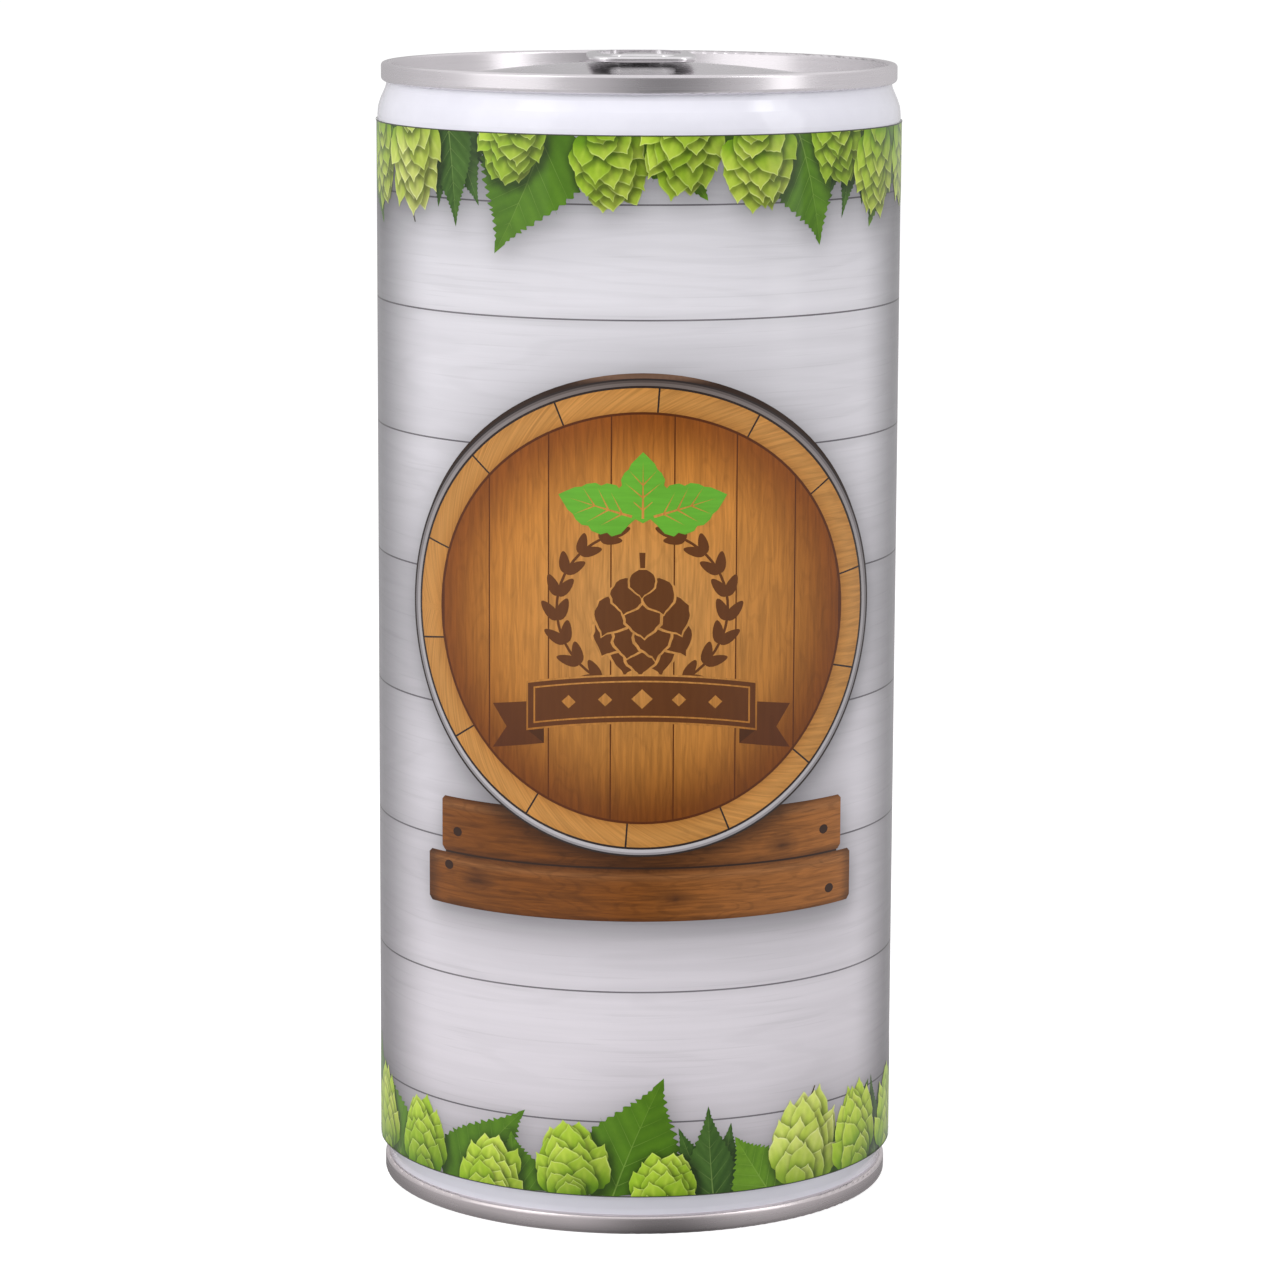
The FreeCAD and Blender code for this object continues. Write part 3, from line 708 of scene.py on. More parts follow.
def cone(origin, angle, length, width, seed, green=0.0):
    """A hop cone from its stem along the angle: its shapes, and the outlines that cast shade."""
    rnd = random.Random(seed)
    other = 1 if green >= 0 else 2
    mixed = np.array([abs(green)])
    rim, pale, fresh, deep, dark = (
        lerp(linear(a), linear(b), mixed)[0] for a, b in zip(CONE_TONES[0], CONE_TONES[other])
    )
    shapes, casters = [], []

    def core(arc, height):
        x, y = local(arc, height, origin, angle)
        return np.tile(dark, (len(x), 1)), grained(x, y, seed)

    def scale_paints(root, tilt, size, girth, lit):
        """The paints of one scale and of the rim round it."""

        def scale(arc, height):
            x, y = local(arc, height, root, tilt)
            t, v = x / size, y / (0.5 * girth)
            tint = lerp(fresh, pale, (0.10 + 0.95 * lit) * smooth(0.30, 0.85, t))
            ridge = np.exp(-(((v - 0.05) / 0.16) ** 2)) * (1 - smooth(0.65, 0.95, t))
            tint = lerp(tint, pale, 0.35 * ridge)
            hollow = np.exp(-(((np.abs(v) - 0.42) / 0.22) ** 2))
            hollow = hollow * smooth(0.35, 0.55, t) * (1 - smooth(0.7, 0.95, t))
            tint = lerp(tint, fresh, 0.40 * hollow)
            tint = lerp(tint, deep, (0.95 - 0.35 * lit) * (1 - smooth(0.22, 0.66, t)))
            ribs = 0.5 + 0.5 * np.cos(v * 15.0 + t * 3 + seed)
            tint = lerp(tint, deep, 0.16 * ribs * (1 - smooth(0.75, 0.95, t)))
            side = ((arc - middle[0]) - (height - middle[1])) / (0.5 * width)
            tint = tint * (1 - 0.17 * np.clip(side, -1.0, 1.4))[:, None]
            down, _ = local(arc, height, origin, angle)
            tint = lerp(tint, deep, 0.42 * (1 - smooth(0.0, 0.62, down / length)))
            return tint, grained(x, y, seed)

        def edge(arc, height):
            tint, grain = scale(arc, height)
            x, y = local(arc, height, root, tilt)
            bright = smooth(0.45, 0.98, x / size) * (0.08 + 0.46 * lit)
            return lerp(tint, rim, bright * (1 - 0.5 * smooth(0.0, 0.9, y / (0.5 * girth)))), grain

        return scale, edge

    body = [(length * (0.44 + 0.42 * math.cos(a)), 0.36 * width * math.sin(a)) for a in ring(24)]
    shapes.append((turned(body, origin, angle), core, 0))
    middle = turned([(0.45 * length, 0.0)], origin, angle)[0]
    for row, (start, places, long, wide) in enumerate(CONE_ROWS):
        for across in places:
            across += rnd.uniform(-0.10, 0.10)
            size = length * long * rnd.uniform(0.90, 1.12)
            girth = width * wide * (1 - 0.20 * abs(across)) * rnd.uniform(0.88, 1.12)
            tilt = angle + (across * (0.40 if row < 3 else 0.55) + rnd.uniform(-0.14, 0.14))
            where = (length * (start + rnd.uniform(-0.03, 0.03)), across * width * 0.25)
            root = turned([where], origin, angle)[0]
            lit = min(1.0, max(0.0, 0.50 + rnd.uniform(-0.42, 0.42)))
            outline = bract_outline(size, girth, rnd)
            tight = [(0.01 * size + x * 0.955, y * 0.90) for x, y in outline]
            scale, edge = scale_paints(root, tilt, size, girth, lit)
            placed = turned(outline, root, tilt)
            casters.append((placed, len(shapes), 0.050 * width))
            shapes.append((placed, edge, 0))
            shapes.append((turned(tight, root, tilt), scale, 0))
    return shapes, casters


def stalk(origin, angle, length, seed):
    """A thin woody stalk."""

    def paint(arc, height):
        x, y = local(arc, height, origin, angle)
        tint = np.tile(linear((96, 84, 46)), (len(x), 1))
        return tint, grained(x, y, seed)

    line = ((0, -0.16), (0.5, 0.02), (1, 0.10), (1, 0.34), (0.5, 0.30), (0, 0.16))
    return [(turned([(x * length, y) for x, y in line], origin, angle), paint, 0)]


def garland(print_mesh, edge, inward, layout, rnd):
    """A border of leaves and cones along one edge of the film; inward is -1 at the top."""
    made = []
    for number, item in enumerate(layout):
        kind, at, back, lean, long, wide, extra = item
        origin = (at, edge - inward * back)
        angle = inward * math.pi / 2 + lean
        casters = []
        if kind == "leaf":
            shapes = leaf(origin, angle, long, wide, extra, number * 13 + 5, rnd.uniform(-0.22, 0.22))
            throws = [shapes[0][0]]
        elif kind == "lobed":
            shapes = lobed(origin, angle, long, wide, extra, number * 13 + 5)
            throws = [shapes[k][0] for k in range(len(shapes)) if k % LEAF_SHAPES == 0]
            casters = [(poly, k * LEAF_SHAPES, 0.7) for k, poly in enumerate(throws) if k]
        elif kind == "stalk":
            shapes = stalk(origin, angle, long, number)
            throws = [shapes[0][0]]
        else:
            shapes, casters = cone(origin, angle, long, wide, number * 7 + 3, extra)
            throws = [poly for poly, _, _ in casters]
        made.append((shapes, casters, throws, kind))
        if kind != "stalk":
            for poly in throws:
                SHADE.add(resample(poly, 2.0))
    for number, (shapes, casters, _, kind) in enumerate(made):
        low = np.min([np.min(poly, axis=0) for poly, _, _ in shapes], axis=0) - 2
        high = np.max([np.max(poly, axis=0) for poly, _, _ in shapes], axis=0) + 2
        for _, _, throws, _ in made[number + 1:]:
            for poly in throws:
                if np.all(np.max(poly, axis=0) > low) and np.all(np.min(poly, axis=0) < high):
                    casters.append((poly, len(shapes), 0.9))
        step = CONE_STEP if kind == "cone" else LEAF_STEP
        lift = min(0.012 + LAYER_STEP * number, LAYER_TOP)
        print_mesh.group(shapes, lift, step, (FOOT, HEAD), casters)


FRONT_HALF = 68.0  # mm round the film on each side of the front, set out by the tables below
CONE_STEP, LEAF_STEP = 0.42, 0.62  # mm between a mesh's points
LAYER_STEP, LAYER_TOP = 0.0016, 0.112  # mm between shapes, and how high they go


def edge_layout(rnd, front):
    """The front's own arrangement, then a freer one round the sides and the back."""
    items = list(front)
    at = FRONT_HALF

    def here():
        return at if at < ROUND / 2 else at - ROUND

    while at < ROUND - FRONT_HALF:
        arc = here()
        kind = rnd.choice(("leaf", "leaf", "leaf", "lobed"))
        tone = "deep" if kind == "lobed" else rnd.choice(("mid", "bright", "mid"))
        lean, back = rnd.uniform(-0.5, 0.5), rnd.uniform(0, 4)
        items.append((kind, arc, back, lean, rnd.uniform(17, 23), rnd.uniform(15, 19), tone))
        at += rnd.uniform(6.0, 8.0)
        green = rnd.uniform(0, 0.8)
        back, lean = rnd.uniform(0, 4), rnd.uniform(-0.45, 0.45)
        long, wide = rnd.uniform(11.5, 15), rnd.uniform(10, 12.5)
        items.append(("cone", here(), back, lean, long, wide, green))
        at += rnd.uniform(6.0, 9.0)
    leaves = [i for i in items if i[0] in ("leaf", "lobed")]
    stalks = [i for i in items if i[0] == "stalk"]
    cones = [i for i in items if i[0] == "cone"]
    return leaves + stalks + cones


# What the picture shows in front: a shape's kind, its place round the film and how far its root
# is outside the edge (mm), its lean, length and width, and a leaf's tone or a cone's green share
TOP_FRONT = (
    ("leaf", -61.0, 2.0, 0.22, 19.0, 17.0, "mid"),
    ("leaf", -47.0, 5.0, -0.62, 15.0, 13.0, "mid"),
    ("lobed", -33.0, 2.5, 0.16, 17.5, 17.0, "deep"),
    ("leaf", -22.5, 5.0, 0.80, 13.0, 13.0, "bright"),
    ("leaf", -14.0, 2.0, -0.30, 22.5, 19.0, "mid"),
    ("leaf", 1.0, 4.0, 0.52, 17.0, 15.0, "bright"),
    ("leaf", 12.5, 5.0, -0.62, 13.5, 13.0, "mid"),
    ("leaf", 25.5, 2.0, 0.40, 20.0, 17.5, "mid"),
    ("lobed", 39.5, 3.0, -0.18, 17.0, 15.0, "deep"),
    ("leaf", 51.0, 2.5, -0.46, 19.5, 17.0, "bright"),
    ("leaf", 63.0, 3.0, 0.20, 17.0, 15.0, "mid"),
    ("stalk", -44.0, -9.5, 0.45, 6.0, 1.0, 0),
    ("cone", -55.5, 1.0, 0.20, 14.0, 12.5, 0.1),
    ("cone", -43.0, 2.5, 0.12, 15.5, 13.5, -0.8),
    ("cone", -19.5, 4.0, -0.15, 12.0, 11.5, 0.55),
    ("cone", -6.0, 1.0, 0.25, 12.5, 11.5, 0.35),
    ("cone", 7.5, 4.5, -0.12, 13.5, 11.5, 0.5),
    ("cone", 18.5, 1.5, 0.10, 13.0, 12.0, 0.15),
    ("cone", 33.5, 4.0, 0.22, 12.5, 11.0, 0.6),
    ("cone", 46.5, 1.0, -0.15, 15.0, 12.5, 0.1),
    ("cone", 59.0, 2.0, 0.12, 15.0, 12.5, 0.3),
)
BOTTOM_FRONT = (
    ("leaf", -60.0, 2.0, -0.16, 20.0, 16.5, "mid"),
    ("leaf", -46.5, 2.5, 0.34, 19.0, 17.0, "bright"),
    ("leaf", -31.0, 3.0, -0.50, 20.5, 17.0, "mid"),
    ("leaf", -18.5, 4.5, 0.22, 14.0, 14.0, "mid"),
    ("leaf", -4.0, 1.5, -0.32, 22.5, 19.0, "mid"),
    ("lobed", 13.0, 3.0, 0.12, 17.5, 17.0, "deep"),
    ("leaf", 24.5, 3.5, 0.62, 15.0, 14.0, "bright"),
    ("leaf", 38.0, 3.0, -0.38, 18.5, 16.0, "mid"),
    ("lobed", 51.0, 2.5, 0.22, 16.5, 15.0, "deep"),
    ("leaf", 62.0, 2.0, -0.22, 19.0, 16.0, "mid"),
    ("stalk", 29.0, -10.0, -0.5, 6.0, 1.0, 0),
    ("cone", -54.0, 1.5, 0.15, 14.5, 12.0, 0.0),
    ("cone", -39.5, 1.0, 0.10, 12.5, 11.5, 0.5),
    ("cone", -25.0, 3.5, -0.15, 11.5, 11.0, 0.3),
    ("cone", -9.5, 1.0, 0.16, 13.0, 11.5, 0.4),
    ("cone", 4.5, 4.0, -0.06, 11.0, 10.5, 0.6),
    ("cone", 28.5, 1.0, -0.20, 15.5, 13.0, -0.8),
    ("cone", 44.0, 1.0, 0.15, 14.5, 12.0, 0.15),
    ("cone", 57.0, 1.5, -0.1, 14.5, 12.0, 0.3),
)


def build_borders():
    """The two hop borders, painted shade as thin dark lines along the film's cut edges, and its pale
    overlap.
    """
    rnd = random.Random(21)
    built = []
    for name, edge, inward, front in (
        ("hop_border_top", HEAD, -1, TOP_FRONT),
        ("hop_border_foot", FOOT, 1, BOTTOM_FRONT),
    ):
        border = Print(name, [LEAF_FILM])
        garland(border, edge, inward, edge_layout(rnd, front), rnd)
        built.append(border.build())
    edges = Print("film_edges", [LEAF_FILM])
    half = ROUND / 2
    # painted shade along the foot and the head edges, then the pale overlap at the back
    for low, high, left, right, colour in (
        (FOOT, FOOT + 0.16, -half, half, (70, 74, 60)),
        (HEAD - 0.16, HEAD, -half, half, (70, 74, 60)),
        (FOOT, HEAD, half - 0.28, half, (176, 173, 177)),
    ):
        strip = [(left, low), (right, low), (right, high), (left, high)]
        value = linear(colour)

        def paint(arc, height, value=value):
            return np.tile(value, (len(arc), 1)), grained(arc, height)

        edges.group([(strip, paint, 0)], 0.116, 1.4)
    return built + [edges.build()]


# ------ disc, board and emblem
def to_film(points):
    """Points given as seen from the front, from the disc's middle, as places on the film."""
    u = np.array([p[0] for p in points]) + DISC_U
    return list(zip(spread(u).tolist(), (np.array([p[1] for p in points]) + DISC_Z).tolist()))


U_TABLE = np.linspace(-41.0, 41.0, 1641)
ARC_TABLE = spread(U_TABLE)


def on_disc(paint):
    """Gives a paint the places x and y from the disc's middle (mm), and r and a round its oval."""

    def placed(arc, height):
        x, y = np.interp(arc, ARC_TABLE, U_TABLE) - DISC_U, height - DISC_Z
        level = x * DISC_TALL / DISC_WIDE
        return paint(x, y, np.hypot(level, y), np.arctan2(y, level))

    return placed


def oval(radius, start=0.0, stop=2 * math.pi, count=120):
    """Points of the disc's oval outline, or of a part of it."""
    whole = stop - start > 6.28
    angles = [start + (stop - start) * i / count for i in range(count + (0 if whole else 1))]
    wide = DISC_WIDE / DISC_TALL
    return [(wide * radius * math.cos(a), radius * math.sin(a)) for a in angles]


def flat_paint(colour, change=0.0):
    @on_disc
    def paint(x, y, r, a):
        tint = linear(colour) * (1 + change * np.sin(x * 0.35) * np.sin(y * 0.5 + 1))[:, None]
        return tint, grained(x, y)

    return paint


def hoop_paint(low, high):
    """One of the hoop's bands, lighter round the sides and the foot than at the top."""

    @on_disc
    def paint(x, y, r, a):
        tint = lerp(linear(low), linear(high), 0.10 + 0.90 * (0.5 - 0.5 * np.sin(a)) ** 0.6)
        return tint, np.zeros((len(a), 3))

    return paint


@on_disc
def shell_paint(x, y, r, a):
    """The drum's own side, seen a little past the hoop at the top."""
    lit = np.exp(-(((y - 37.9) / 0.8) ** 2)) * (1 - smooth(8, 24, np.abs(x)))
    return lerp(linear((50, 34, 26)), linear((122, 92, 74)), lit), np.zeros((len(x), 3))


def rim_paint(number):
    @on_disc
    def paint(x, y, r, a):
        base = linear((193, 133, 64)) * (1 + 0.06 * math.sin(number * 2.4))
        tint = lerp(base, linear((158, 98, 38)), 0.5 * (1 - smooth(32.0, 33.4, r)))
        tint = lerp(tint, linear((214, 158, 90)), 0.30 * np.exp(-(((r - 34.6) / 1.2) ** 2)))
        return tint, grained(r * 1.2, a * r * 0.9 + number * 17)

    return paint


def wood_tone(y, r, number):
    base = linear((190, 123, 50)) * (1 + 0.08 * math.sin(number * 1.9 + 0.4))
    tint = lerp(base, linear((205, 149, 84)), 0.7 * np.exp(-(((r - 4) / 13.0) ** 2)))
    tint = lerp(tint, linear((120, 58, 6)), 0.90 * smooth(20.0, 32.8, r))
    return tint * (1 + 0.0062 * y)[:, None]


def stave_paint(number):
    @on_disc
    def paint(x, y, r, a):
        return wood_tone(y, r, number), grained(y + number * 41, x + number * 9)

    return paint


def ink_paint(colour, cover=0.86):
    """Ink through which some of the wood's own light and dark shows."""

    @on_disc
    def paint(x, y, r, a):
        tint = wood_tone(y, r, 3) * (1 - cover) * 0.6 + linear(colour) * (cover + 0.06)
        return tint, grained(y, x)

    return paint


BOARD_KNOTS = ((-25.0, -43.2, 2.0), (21.5, -37.0, 1.6), (5.0, -44.4, 1.2))  # x, y and size, mm


def plank_board(number, low, high):
    """Colours of one plank of the board under the disc."""

    @on_disc
    def paint(x, y, r, a):
        lit = smooth(-5, 34, x) * 0.7 + 0.08 * np.sin(x / 6 + number)
        tint = lerp(linear((124, 70, 22)), linear((184, 118, 60)), lit)
        tint = tint * (1 + 0.05 * math.sin(number * 3.1))
        edge = np.minimum(y - low, high - y)
        tint = lerp(tint, linear((58, 30, 16)), 0.6 * (1 - smooth(0.0, 1.1, edge)))
        tint = lerp(tint, linear((166, 116, 74)), 0.35 * np.exp(-(((high - y - 1.3) / 0.6) ** 2)))
        tint = lerp(tint, linear((52, 28, 14)), 0.6 * (1 - smooth(0.3, 2.2, 33.6 - np.abs(x))))
        for cx, cy, size in BOARD_KNOTS:
            d = np.hypot((x - cx) * 0.62, y - cy)
            tint = lerp(tint, linear((64, 36, 20)), 0.75 * np.exp(-((d / size * 1.5) ** 2)))
            rings = 0.28 * (0.5 + 0.5 * np.cos(d * 4.4)) * np.exp(-((d / size / 1.9) ** 2))
            tint = lerp(tint, linear((86, 52, 28)), rings)
        under_hoop = 0.80 * np.exp(-((np.maximum(r - 37.4, 0) / 2.6) ** 2))
        return lerp(tint, linear((40, 22, 12)), under_hoop), grained(x + number * 31, y, 3.0)

    return paint


def grain_of_barley(at, angle, size):
    shape = [
        (1.9 * size * (1 + math.cos(a)), 0.86 * size * math.sin(a) * (1 - 0.28 * math.cos(a)))
        for a in ring(16)
    ]
    return turned(shape, at, angle)


def barley_branch(side, middle, radius, start, stop, count):
    """Half of a wreath: a stem along an arc, with a grain on each side of it."""

    def on_arc(a, out=0.0):
        return middle[0] + side * (radius + out) * math.cos(a), middle[1] + (radius + out) * math.sin(a)

    def ahead(a):
        return math.atan2(math.cos(a), -side * math.sin(a))

    line = [start + (stop - start) * i / 24 for i in range(25)]
    shapes = [[on_arc(a, 0.2) for a in line] + [on_arc(a, -0.2) for a in reversed(line)]]
    for k in range(count):
        t = (k + 1.2) / (count + 0.6)
        a = start + (stop - start) * t
        for way in (1, -1):
            shapes.append(grain_of_barley(on_arc(a), ahead(a) + way * 0.55, 1.0 - 0.30 * abs(t - 0.45)))
    shapes.append(grain_of_barley(on_arc(stop), ahead(stop), 0.85))
    return shapes


FLAT_LEAF_AT = (0.04, 0.10, 0.20, 0.27, 0.34, 0.46, 0.52, 0.60, 0.70, 0.75, 0.83, 0.92)
FLAT_LEAF_OUT = (0.34, 0.74, 0.95, 0.86, 1.0, 0.97, 0.82, 0.86, 0.72, 0.56, 0.46, 0.22)


def flat_leaf(root, angle, size):
    """A leaf in silhouette with a notched edge, and slits for its veins."""
    half = list(zip(FLAT_LEAF_AT, FLAT_LEAF_OUT))
    long, wide = 11.0 * size, 7.6 * size
    up = [(t * long, 0.5 * wide * w) for t, w in half]
    down = [(t * long, -0.5 * wide * w) for t, w in reversed(half)]
    lobe = [(-0.3, 0.0)] + up + [(long, 0.0)] + down
    slits = [[(0.4, -0.20 * size), (long * 0.86, 0.0), (0.4, 0.20 * size)]]
    for k, reach in ((0.16, 0.34), (0.34, 0.36), (0.52, 0.28)):
        for way in (1, -1):
            tip = (k * long + 0.22 * long, way * reach * wide)
            slits.append([(k * long - 0.16 * size, 0.0), (k * long + 0.16 * size, 0.0), tip])
    return turned(lobe, root, angle), [turned(s, root, angle) for s in slits]


# From the disc's middle, in mm: each plank's low, high, left and right, and the pegs' places
BOARD_PLANKS = ((-48.0, -39.6, -33.6, 33.4), (-39.3, -30.5, -31.2, 31.6))
BOARD_PEGS = ((-28.5, -36.0), (28.5, -35.6), (-30.0, -41.6), (29.6, -45.4))
PEG_RADIUS = 0.75
# The emblem's cone: where a row starts, its scales across, and their length and width
EMBLEM_ROWS = (
    (-4.6, (-0.5, 0.5, 0.0), 6.4, 5.0),
    (-1.9, (-0.95, 0.95, -0.33, 0.33), 6.6, 5.2),
    (1.2, (-0.9, 0.9, -0.02), 6.4, 5.4),
    (4.0, (-0.5, 0.5), 5.6, 4.8),
    (5.4, (0.0,), 4.2, 3.8),
)
# The ribbon's bands: how far in from its ends, low, high, and whether the wood shows
RIBBON_BANDS = (
    (0.0, -18.2, -10.4, True),
    (0.25, -17.9, -10.7, False),
    (1.1, -17.2, -11.4, True),
    (1.35, -16.95, -11.65, False),
)
RIBBON_HALF, RIBBON_RISE = 17.2, 1.8
RIM_BLOCKS, STAVES = 14, 7
RIM_GAP = 0.004  # radians, on each side of a block
TOP_LEAVES = ((0.0, 0.98, (0.0, 15.4)), (-1.28, 1.06, (1.2, 16.0)), (1.28, 1.06, (-1.2, 16.0)))
EMBLEM_UP = 1.5  # how far over the disc's middle the wreath's middle is, mm


def arched(points):
    """Bends flat points into the ribbon's gentle arch."""
    return [(x, y + RIBBON_RISE * (1 - (x / RIBBON_HALF) ** 2)) for x, y in points]


def build_disc():
    """The wooden disc with its hoop and emblem, and the board under it."""
    disc = Print("wooden_disc", [WOOD_FILM, BOARD_FILM, INK_FILM, HOOP_FILM])
    wood, board, ink, hoop = range(4)
    shapes = []

    def put(points, paint, slot):
        shapes.append((to_film(points), paint, slot))

    def layer(lift, step):
        """Makes one layer of the shapes put down so far."""
        disc.group(shapes, lift, step)
        shapes.clear()

    backing = [(-30.6, -40.2), (30.9, -40.2), (30.9, -38.8), (-30.6, -38.8)]
    put(resample(backing, 1.0), flat_paint((50, 32, 22)), hoop)
    for number, (low, high, left, right) in enumerate(BOARD_PLANKS):
        foot = [(left, low + 0.7), (left + 0.5, low), (right - 0.5, low), (right, low + 0.7)]
        head = [(right, high - 0.6), (right - 0.5, high), (left + 0.5, high), (left, high - 0.6)]
        put(resample(foot + head, 1.0), plank_board(number, low, high), board)
        SHADE.add(shapes[-1][0])
    for x, y in BOARD_PEGS:
        peg = [(x + PEG_RADIUS * math.cos(a), y + PEG_RADIUS * math.sin(a)) for a in ring(20)]
        put(peg, flat_paint((54, 32, 20)), ink)
    layer(0.010, 1.0)

    shell = [(x, y + 1.3) for x, y in oval(37.1)]
    for shape in (oval(37.6), shell):
        SHADE.add(to_film(shape))
    put(shell, shell_paint, hoop)
    for reach, paint in (
        (37.6, flat_paint((50, 42, 40))),
        (37.3, hoop_paint((70, 56, 48), (150, 146, 150))),
        (36.95, hoop_paint((92, 78, 70), (188, 184, 188))),
        (36.45, flat_paint((46, 36, 32))),
    ):
        put(oval(reach, count=240), paint, hoop)
    for k in range(RIM_BLOCKS):
        start = 2 * math.pi * (k + 0.35) / RIM_BLOCKS + RIM_GAP
        stop = 2 * math.pi * (k + 1.35) / RIM_BLOCKS - RIM_GAP
        put(oval(36.1, start, stop, 14) + oval(32.3, start, stop, 14)[::-1], rim_paint(k), wood)
    put(oval(32.4), flat_paint((88, 42, 8)), ink)
    wide = 64.6 / STAVES
    for k in range(STAVES):
        left = -32.3 + k * wide + 0.10
        right = left + wide - 0.20
        xs = [left + (right - left) * i / 12 for i in range(13)]
        limits = [32.0**2 - (x * DISC_TALL / DISC_WIDE) ** 2 for x in xs]
        top = [(x, math.sqrt(limit)) for x, limit in zip(xs, limits) if limit > 0]
        if len(top) > 2:
            put(top + [(x, -y) for x, y in reversed(top)], stave_paint(k), wood)
    layer(0.022, 1.1)

    brown = ink_paint((84, 42, 18))
    under = stave_paint(3)
    for side in (1, -1):
        for poly in barley_branch(side, (0.0, EMBLEM_UP), 12.6, -1.42, 1.18, 8):
            put(poly, brown, ink)
    rnd = random.Random(5)
    for start, places, long, wide in EMBLEM_ROWS:
        for across in places:
            outline = bract_outline(long, wide, rnd)
            tilt = -math.pi / 2 + across * 0.42
            root = (across * 3.4, EMBLEM_UP + start + 1.0)
            wider = [(x * 1.05, y * 1.16) for x, y in outline]
            put(turned(wider, root, tilt), under, wood)
            put(turned(outline, root, tilt), brown, ink)
    stem = [(-0.35, 7.2), (-0.5, 9.6), (0.4, 9.6), (0.35, 7.2)]
    put([(x, y + EMBLEM_UP - 0.6) for x, y in stem], brown, ink)
    layer(0.034, 0.8)

    tail = [(14.5, -20.0), (22.5, -21.4), (20.3, -17.9), (22.5, -14.4), (14.5, -13.2)]
    fold = [(14.5, -20.0), (17.2, -18.0), (17.2, -13.6), (14.5, -13.2)]
    for side in (1, -1):
        put(resample([(side * x, y) for x, y in tail], 1.5), brown, ink)
        put([(side * x, y) for x, y in fold], ink_paint((60, 28, 12)), ink)
    for inset, low, high, wooden in RIBBON_BANDS:
        edge = RIBBON_HALF - inset
        xs = [-edge + 2 * edge * i / 30 for i in range(31)]
        band = arched([(x, low) for x in xs] + [(x, high) for x in reversed(xs)])
        put(band, under if wooden else brown, wood if wooden else ink)
    for k in range(-2, 3):
        x, y = arched([(k * 5.4, -14.3)])[0]
        size = 1.05 if k else 1.55
        put([(x - size, y), (x, y - size), (x + size, y), (x, y + size)], under, wood)
    layer(0.040, 0.8)

    green = flat_paint((104, 176, 52), 0.03)
    for turn, size, root in TOP_LEAVES:
        blade, slits = flat_leaf(root, math.pi / 2 + turn, size)
        put(blade, green, ink)
        for slit in slits:
            put(slit, under, wood)
    layer(0.046, 0.8)
    return disc.build()


motifs = [*build_borders(), build_disc()]
FIELDS = SHADE.blurred(1.6), SHADE.blurred(5.5)
wrap_piece = build_wrap()
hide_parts("label")
for piece in [wrap_piece] + motifs:
    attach(piece, "root")

# ------ the can's metal
TAB_SHADE = (0.0080, -0.0125, 0.0080, -math.radians(3))  # painted shade under the tab: half width, y from and to (m), turn
METALS = {
    "can_body": lacquer(),
    # the top's metal has painted shade under the tab, the tab's metal painted shade on its undersides
    "top_end": metal("end_metal_satin", (226, 222, 225), 0.26, 0.25, shadow=TAB_SHADE),
    "bottom_end": metal("end_metal_scuffed", (224, 216, 217), 0.26, 0.75),
    "pull_tab": metal("tab_metal_bright", (236, 234, 236), 0.19, under=True),
}
for name, material in METALS.items():
    mesh = frame["nodes"][name].data
    mesh.materials.clear()
    mesh.materials.append(material)


# ------ stage, light and camera
# How bright the studio looks in the metal, round from the back by the left, the front and the right
STUDIO = (
    (0.00, 0.52), (0.10, 0.56), (0.20, 0.74), (0.28, 0.80), (0.36, 0.70), (0.43, 0.72), (0.470, 0.48),
    (0.51, 0.25), (0.555, 0.24), (0.60, 0.54), (0.65, 0.72), (0.72, 0.72), (0.80, 0.72), (0.90, 0.70),
    (1.00, 0.52),
)


def studio_ramp(tree, east, north, spin=None):
    """The studio's brightness for a direction, or a place on the floor, from its x and y."""
    angle = maths(tree, "ARCTAN2", east, maths(tree, "MULTIPLY", north, -1.0))
    if spin is not None:
        angle = maths(tree, "MULTIPLY", angle, spin)
    ramp = wire(tree, "ValToRGB", {"Fac": span(tree, angle, -math.pi, math.pi, 0.0, 1.0, "LINEAR")}).node
    ramp.color_ramp.interpolation = "B_SPLINE"
    marks = ramp.color_ramp.elements
    while len(marks) < len(STUDIO):
        marks.new(0.5)
    for mark, (at, level) in zip(marks, STUDIO):
        mark.position = at
        mark.color = (level, level * 0.985, level, 1.0)
    return ramp.outputs["Color"]


def ray_kinds(tree):
    """Whether a ray shows the background itself, straight or through glass, or mirrors it."""
    path = wire(tree, "LightPath").node.outputs
    seen = maths(tree, "MAXIMUM", path["Is Camera Ray"], path["Is Transmission Ray"])
    return seen, path["Is Glossy Ray"]


def mix_shaders(tree, share, first, second):
    return wire(tree, "MixShader", {0: share, 1: first, 2: second})


FLOOR_HALF = 9.0
NEAR_GLOW = (0.0435, 0.0505, 0.40, 1.0)  # painted shade in the mirrored floor close to the can (m, level)
CEILING = (0.92, 0.91, 0.92, 1)
WHITE_GLARE = 0.68  # what the floor adds to its own lit grey where it is seen itself
EVEN_LIGHT = 0.60  # the world's light on the object


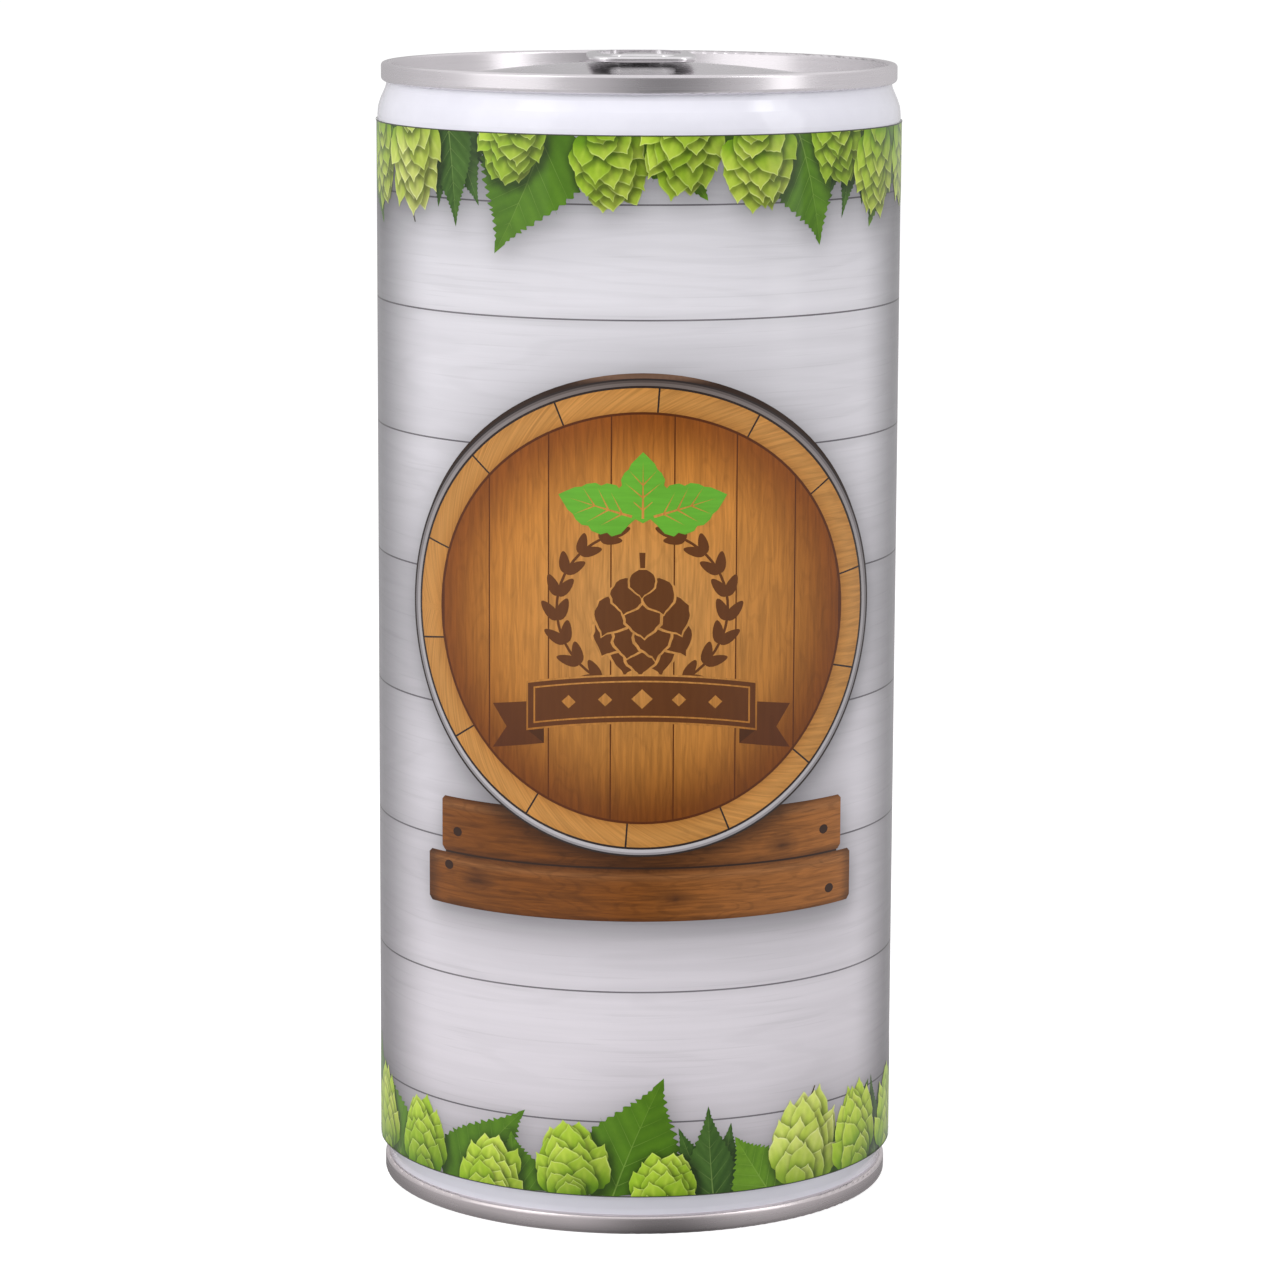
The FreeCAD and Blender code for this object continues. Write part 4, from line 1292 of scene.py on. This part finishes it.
def backdrop():
    """The pale floor, which keeps the object's shadow, and which the metal mirrors as the studio with
    painted shade close to the can.
    """
    mesh = bpy.data.meshes.new("stage_floor")
    h = FLOOR_HALF
    mesh.from_pydata([(-h, -h, 0), (h, -h, 0), (h, h, 0), (-h, h, 0)], [], [(0, 1, 2, 3)])
    floor = bpy.data.objects.new("stage_floor", mesh)
    bpy.context.scene.collection.objects.link(floor)
    material, tree, shader = principled("stage_white")
    values = {"Base Color": (0.62, 0.62, 0.62, 1), "Roughness": 0.9, "Specular IOR Level": 0.0}
    for key, value in values.items():
        fill(tree, shader.inputs[key], value)
    seen, glossy = ray_kinds(tree)
    glare = maths(tree, "MULTIPLY", seen, WHITE_GLARE)
    white = wire(tree, "Emission", {"Color": (1, 1, 1, 1), "Strength": glare})
    plain = wire(tree, "AddShader", {0: shader.outputs[0], 1: white})
    x, y, _ = parts_of(tree, wire(tree, "TexCoord", None, "Object"))
    far = length_of(tree, x, y)
    colour = studio_ramp(tree, x, y, span(tree, far, 0.05, 0.30, 1.6, 1.0))
    glow = wire(tree, "Emission", {"Color": colour, "Strength": span(tree, far, *NEAR_GLOW, "LINEAR")})
    surface = tree.nodes["Material Output"].inputs["Surface"]
    tree.links.new(mix_shaders(tree, glossy, plain, glow), surface)
    mesh.materials.append(material)


def world():
    """A white background, even light, and a studio for the metal to mirror."""
    scene_world = bpy.data.worlds.new("studio")
    bpy.context.scene.world = scene_world
    scene_world.use_nodes = True
    tree = scene_world.node_tree
    even = tree.nodes["Background"]
    even.inputs["Color"].default_value = (1, 1, 1, 1)
    even.inputs["Strength"].default_value = EVEN_LIGHT
    seen, glossy = ray_kinds(tree)
    white = wire(tree, "Background", {"Color": (1, 1, 1, 1), "Strength": 1.0})
    plain = mix_shaders(tree, seen, even.outputs[0], white)
    x, y, z = parts_of(tree, wire(tree, "TexCoord", None, "Generated"))
    inputs = {"Factor": span(tree, z, 0.30, 0.65, 0.0, 1.0), "A": studio_ramp(tree, x, y), "B": CEILING}
    studio = wire(tree, "Background", {"Color": wire(tree, "Mix", inputs, "Result", data_type="RGBA")})
    tree.links.new(mix_shaders(tree, glossy, plain, studio), tree.nodes["World Output"].inputs["Surface"])


def lamp(name, azimuth, height, away, wide, tall, level, mirrored):
    """A soft box at an angle round from the front, as bright as level where white is 1."""
    data = bpy.data.lights.new(name, "AREA")
    data.shape = "RECTANGLE"
    data.size = wide
    data.size_y = tall
    data.energy = level * math.pi * wide * tall
    obj = bpy.data.objects.new(name, data)
    obj.visible_glossy = mirrored
    bpy.context.scene.collection.objects.link(obj)
    turn = math.radians(azimuth)
    at = Vector((away * math.sin(turn), -away * math.cos(turn), height))
    obj.location = at
    obj.rotation_euler = (Vector((0, 0, 0.10)) - at).to_track_quat("-Z", "Y").to_euler()


# name, azimuth, height, away (m), width, height of the box (m), level, and whether metal mirrors it
LAMPS = (
    ("left_panel", -58.0, 0.45, 1.0, 0.80, 1.20, 0.60, True),
    ("left_fill", -62.0, 0.60, 1.2, 0.80, 1.00, 1.35, False),
    ("right_panel", 66.0, 0.50, 1.0, 0.33, 1.20, 1.05, True),
    ("right_fill", 54.0, 1.10, 1.3, 0.80, 0.60, 2.5, False),
    ("high_key", -22.0, 1.45, 1.25, 1.10, 0.80, 2.3, False),
    ("left_window", -52.0, 1.25, 1.15, 0.42, 0.70, 1.1, True),
    ("right_window", 64.0, 1.20, 1.15, 0.20, 0.60, 1.7, True),
)
backdrop()
world()
for values in LAMPS:
    lamp(*values)

FRAME_PIXELS = 1270
FOCAL_PIXELS = 4757.3
SENSOR = 36.0  # mm
CAMERA_AT = (-0.00029, -0.76956, 0.22082)
PITCH, ROLL = 0.16904, 0.0043  # radians, down and clockwise

camera_data = bpy.data.cameras.new("camera")
camera_data.sensor_width = SENSOR
camera_data.lens = FOCAL_PIXELS / FRAME_PIXELS * SENSOR
camera_data.clip_start = 0.01
camera = bpy.data.objects.new("camera", camera_data)
bpy.context.scene.collection.objects.link(camera)
camera.location = CAMERA_AT
camera.rotation_mode = "XYZ"
look = Vector((0.0, math.cos(PITCH), -math.sin(PITCH)))
turn = look.to_track_quat("-Z", "Y").to_matrix()
camera.rotation_euler = (turn @ Matrix.Rotation(ROLL, 3, "Z")).to_euler()
bpy.context.scene.camera = camera
bpy.context.scene.view_settings.view_transform = "Standard"
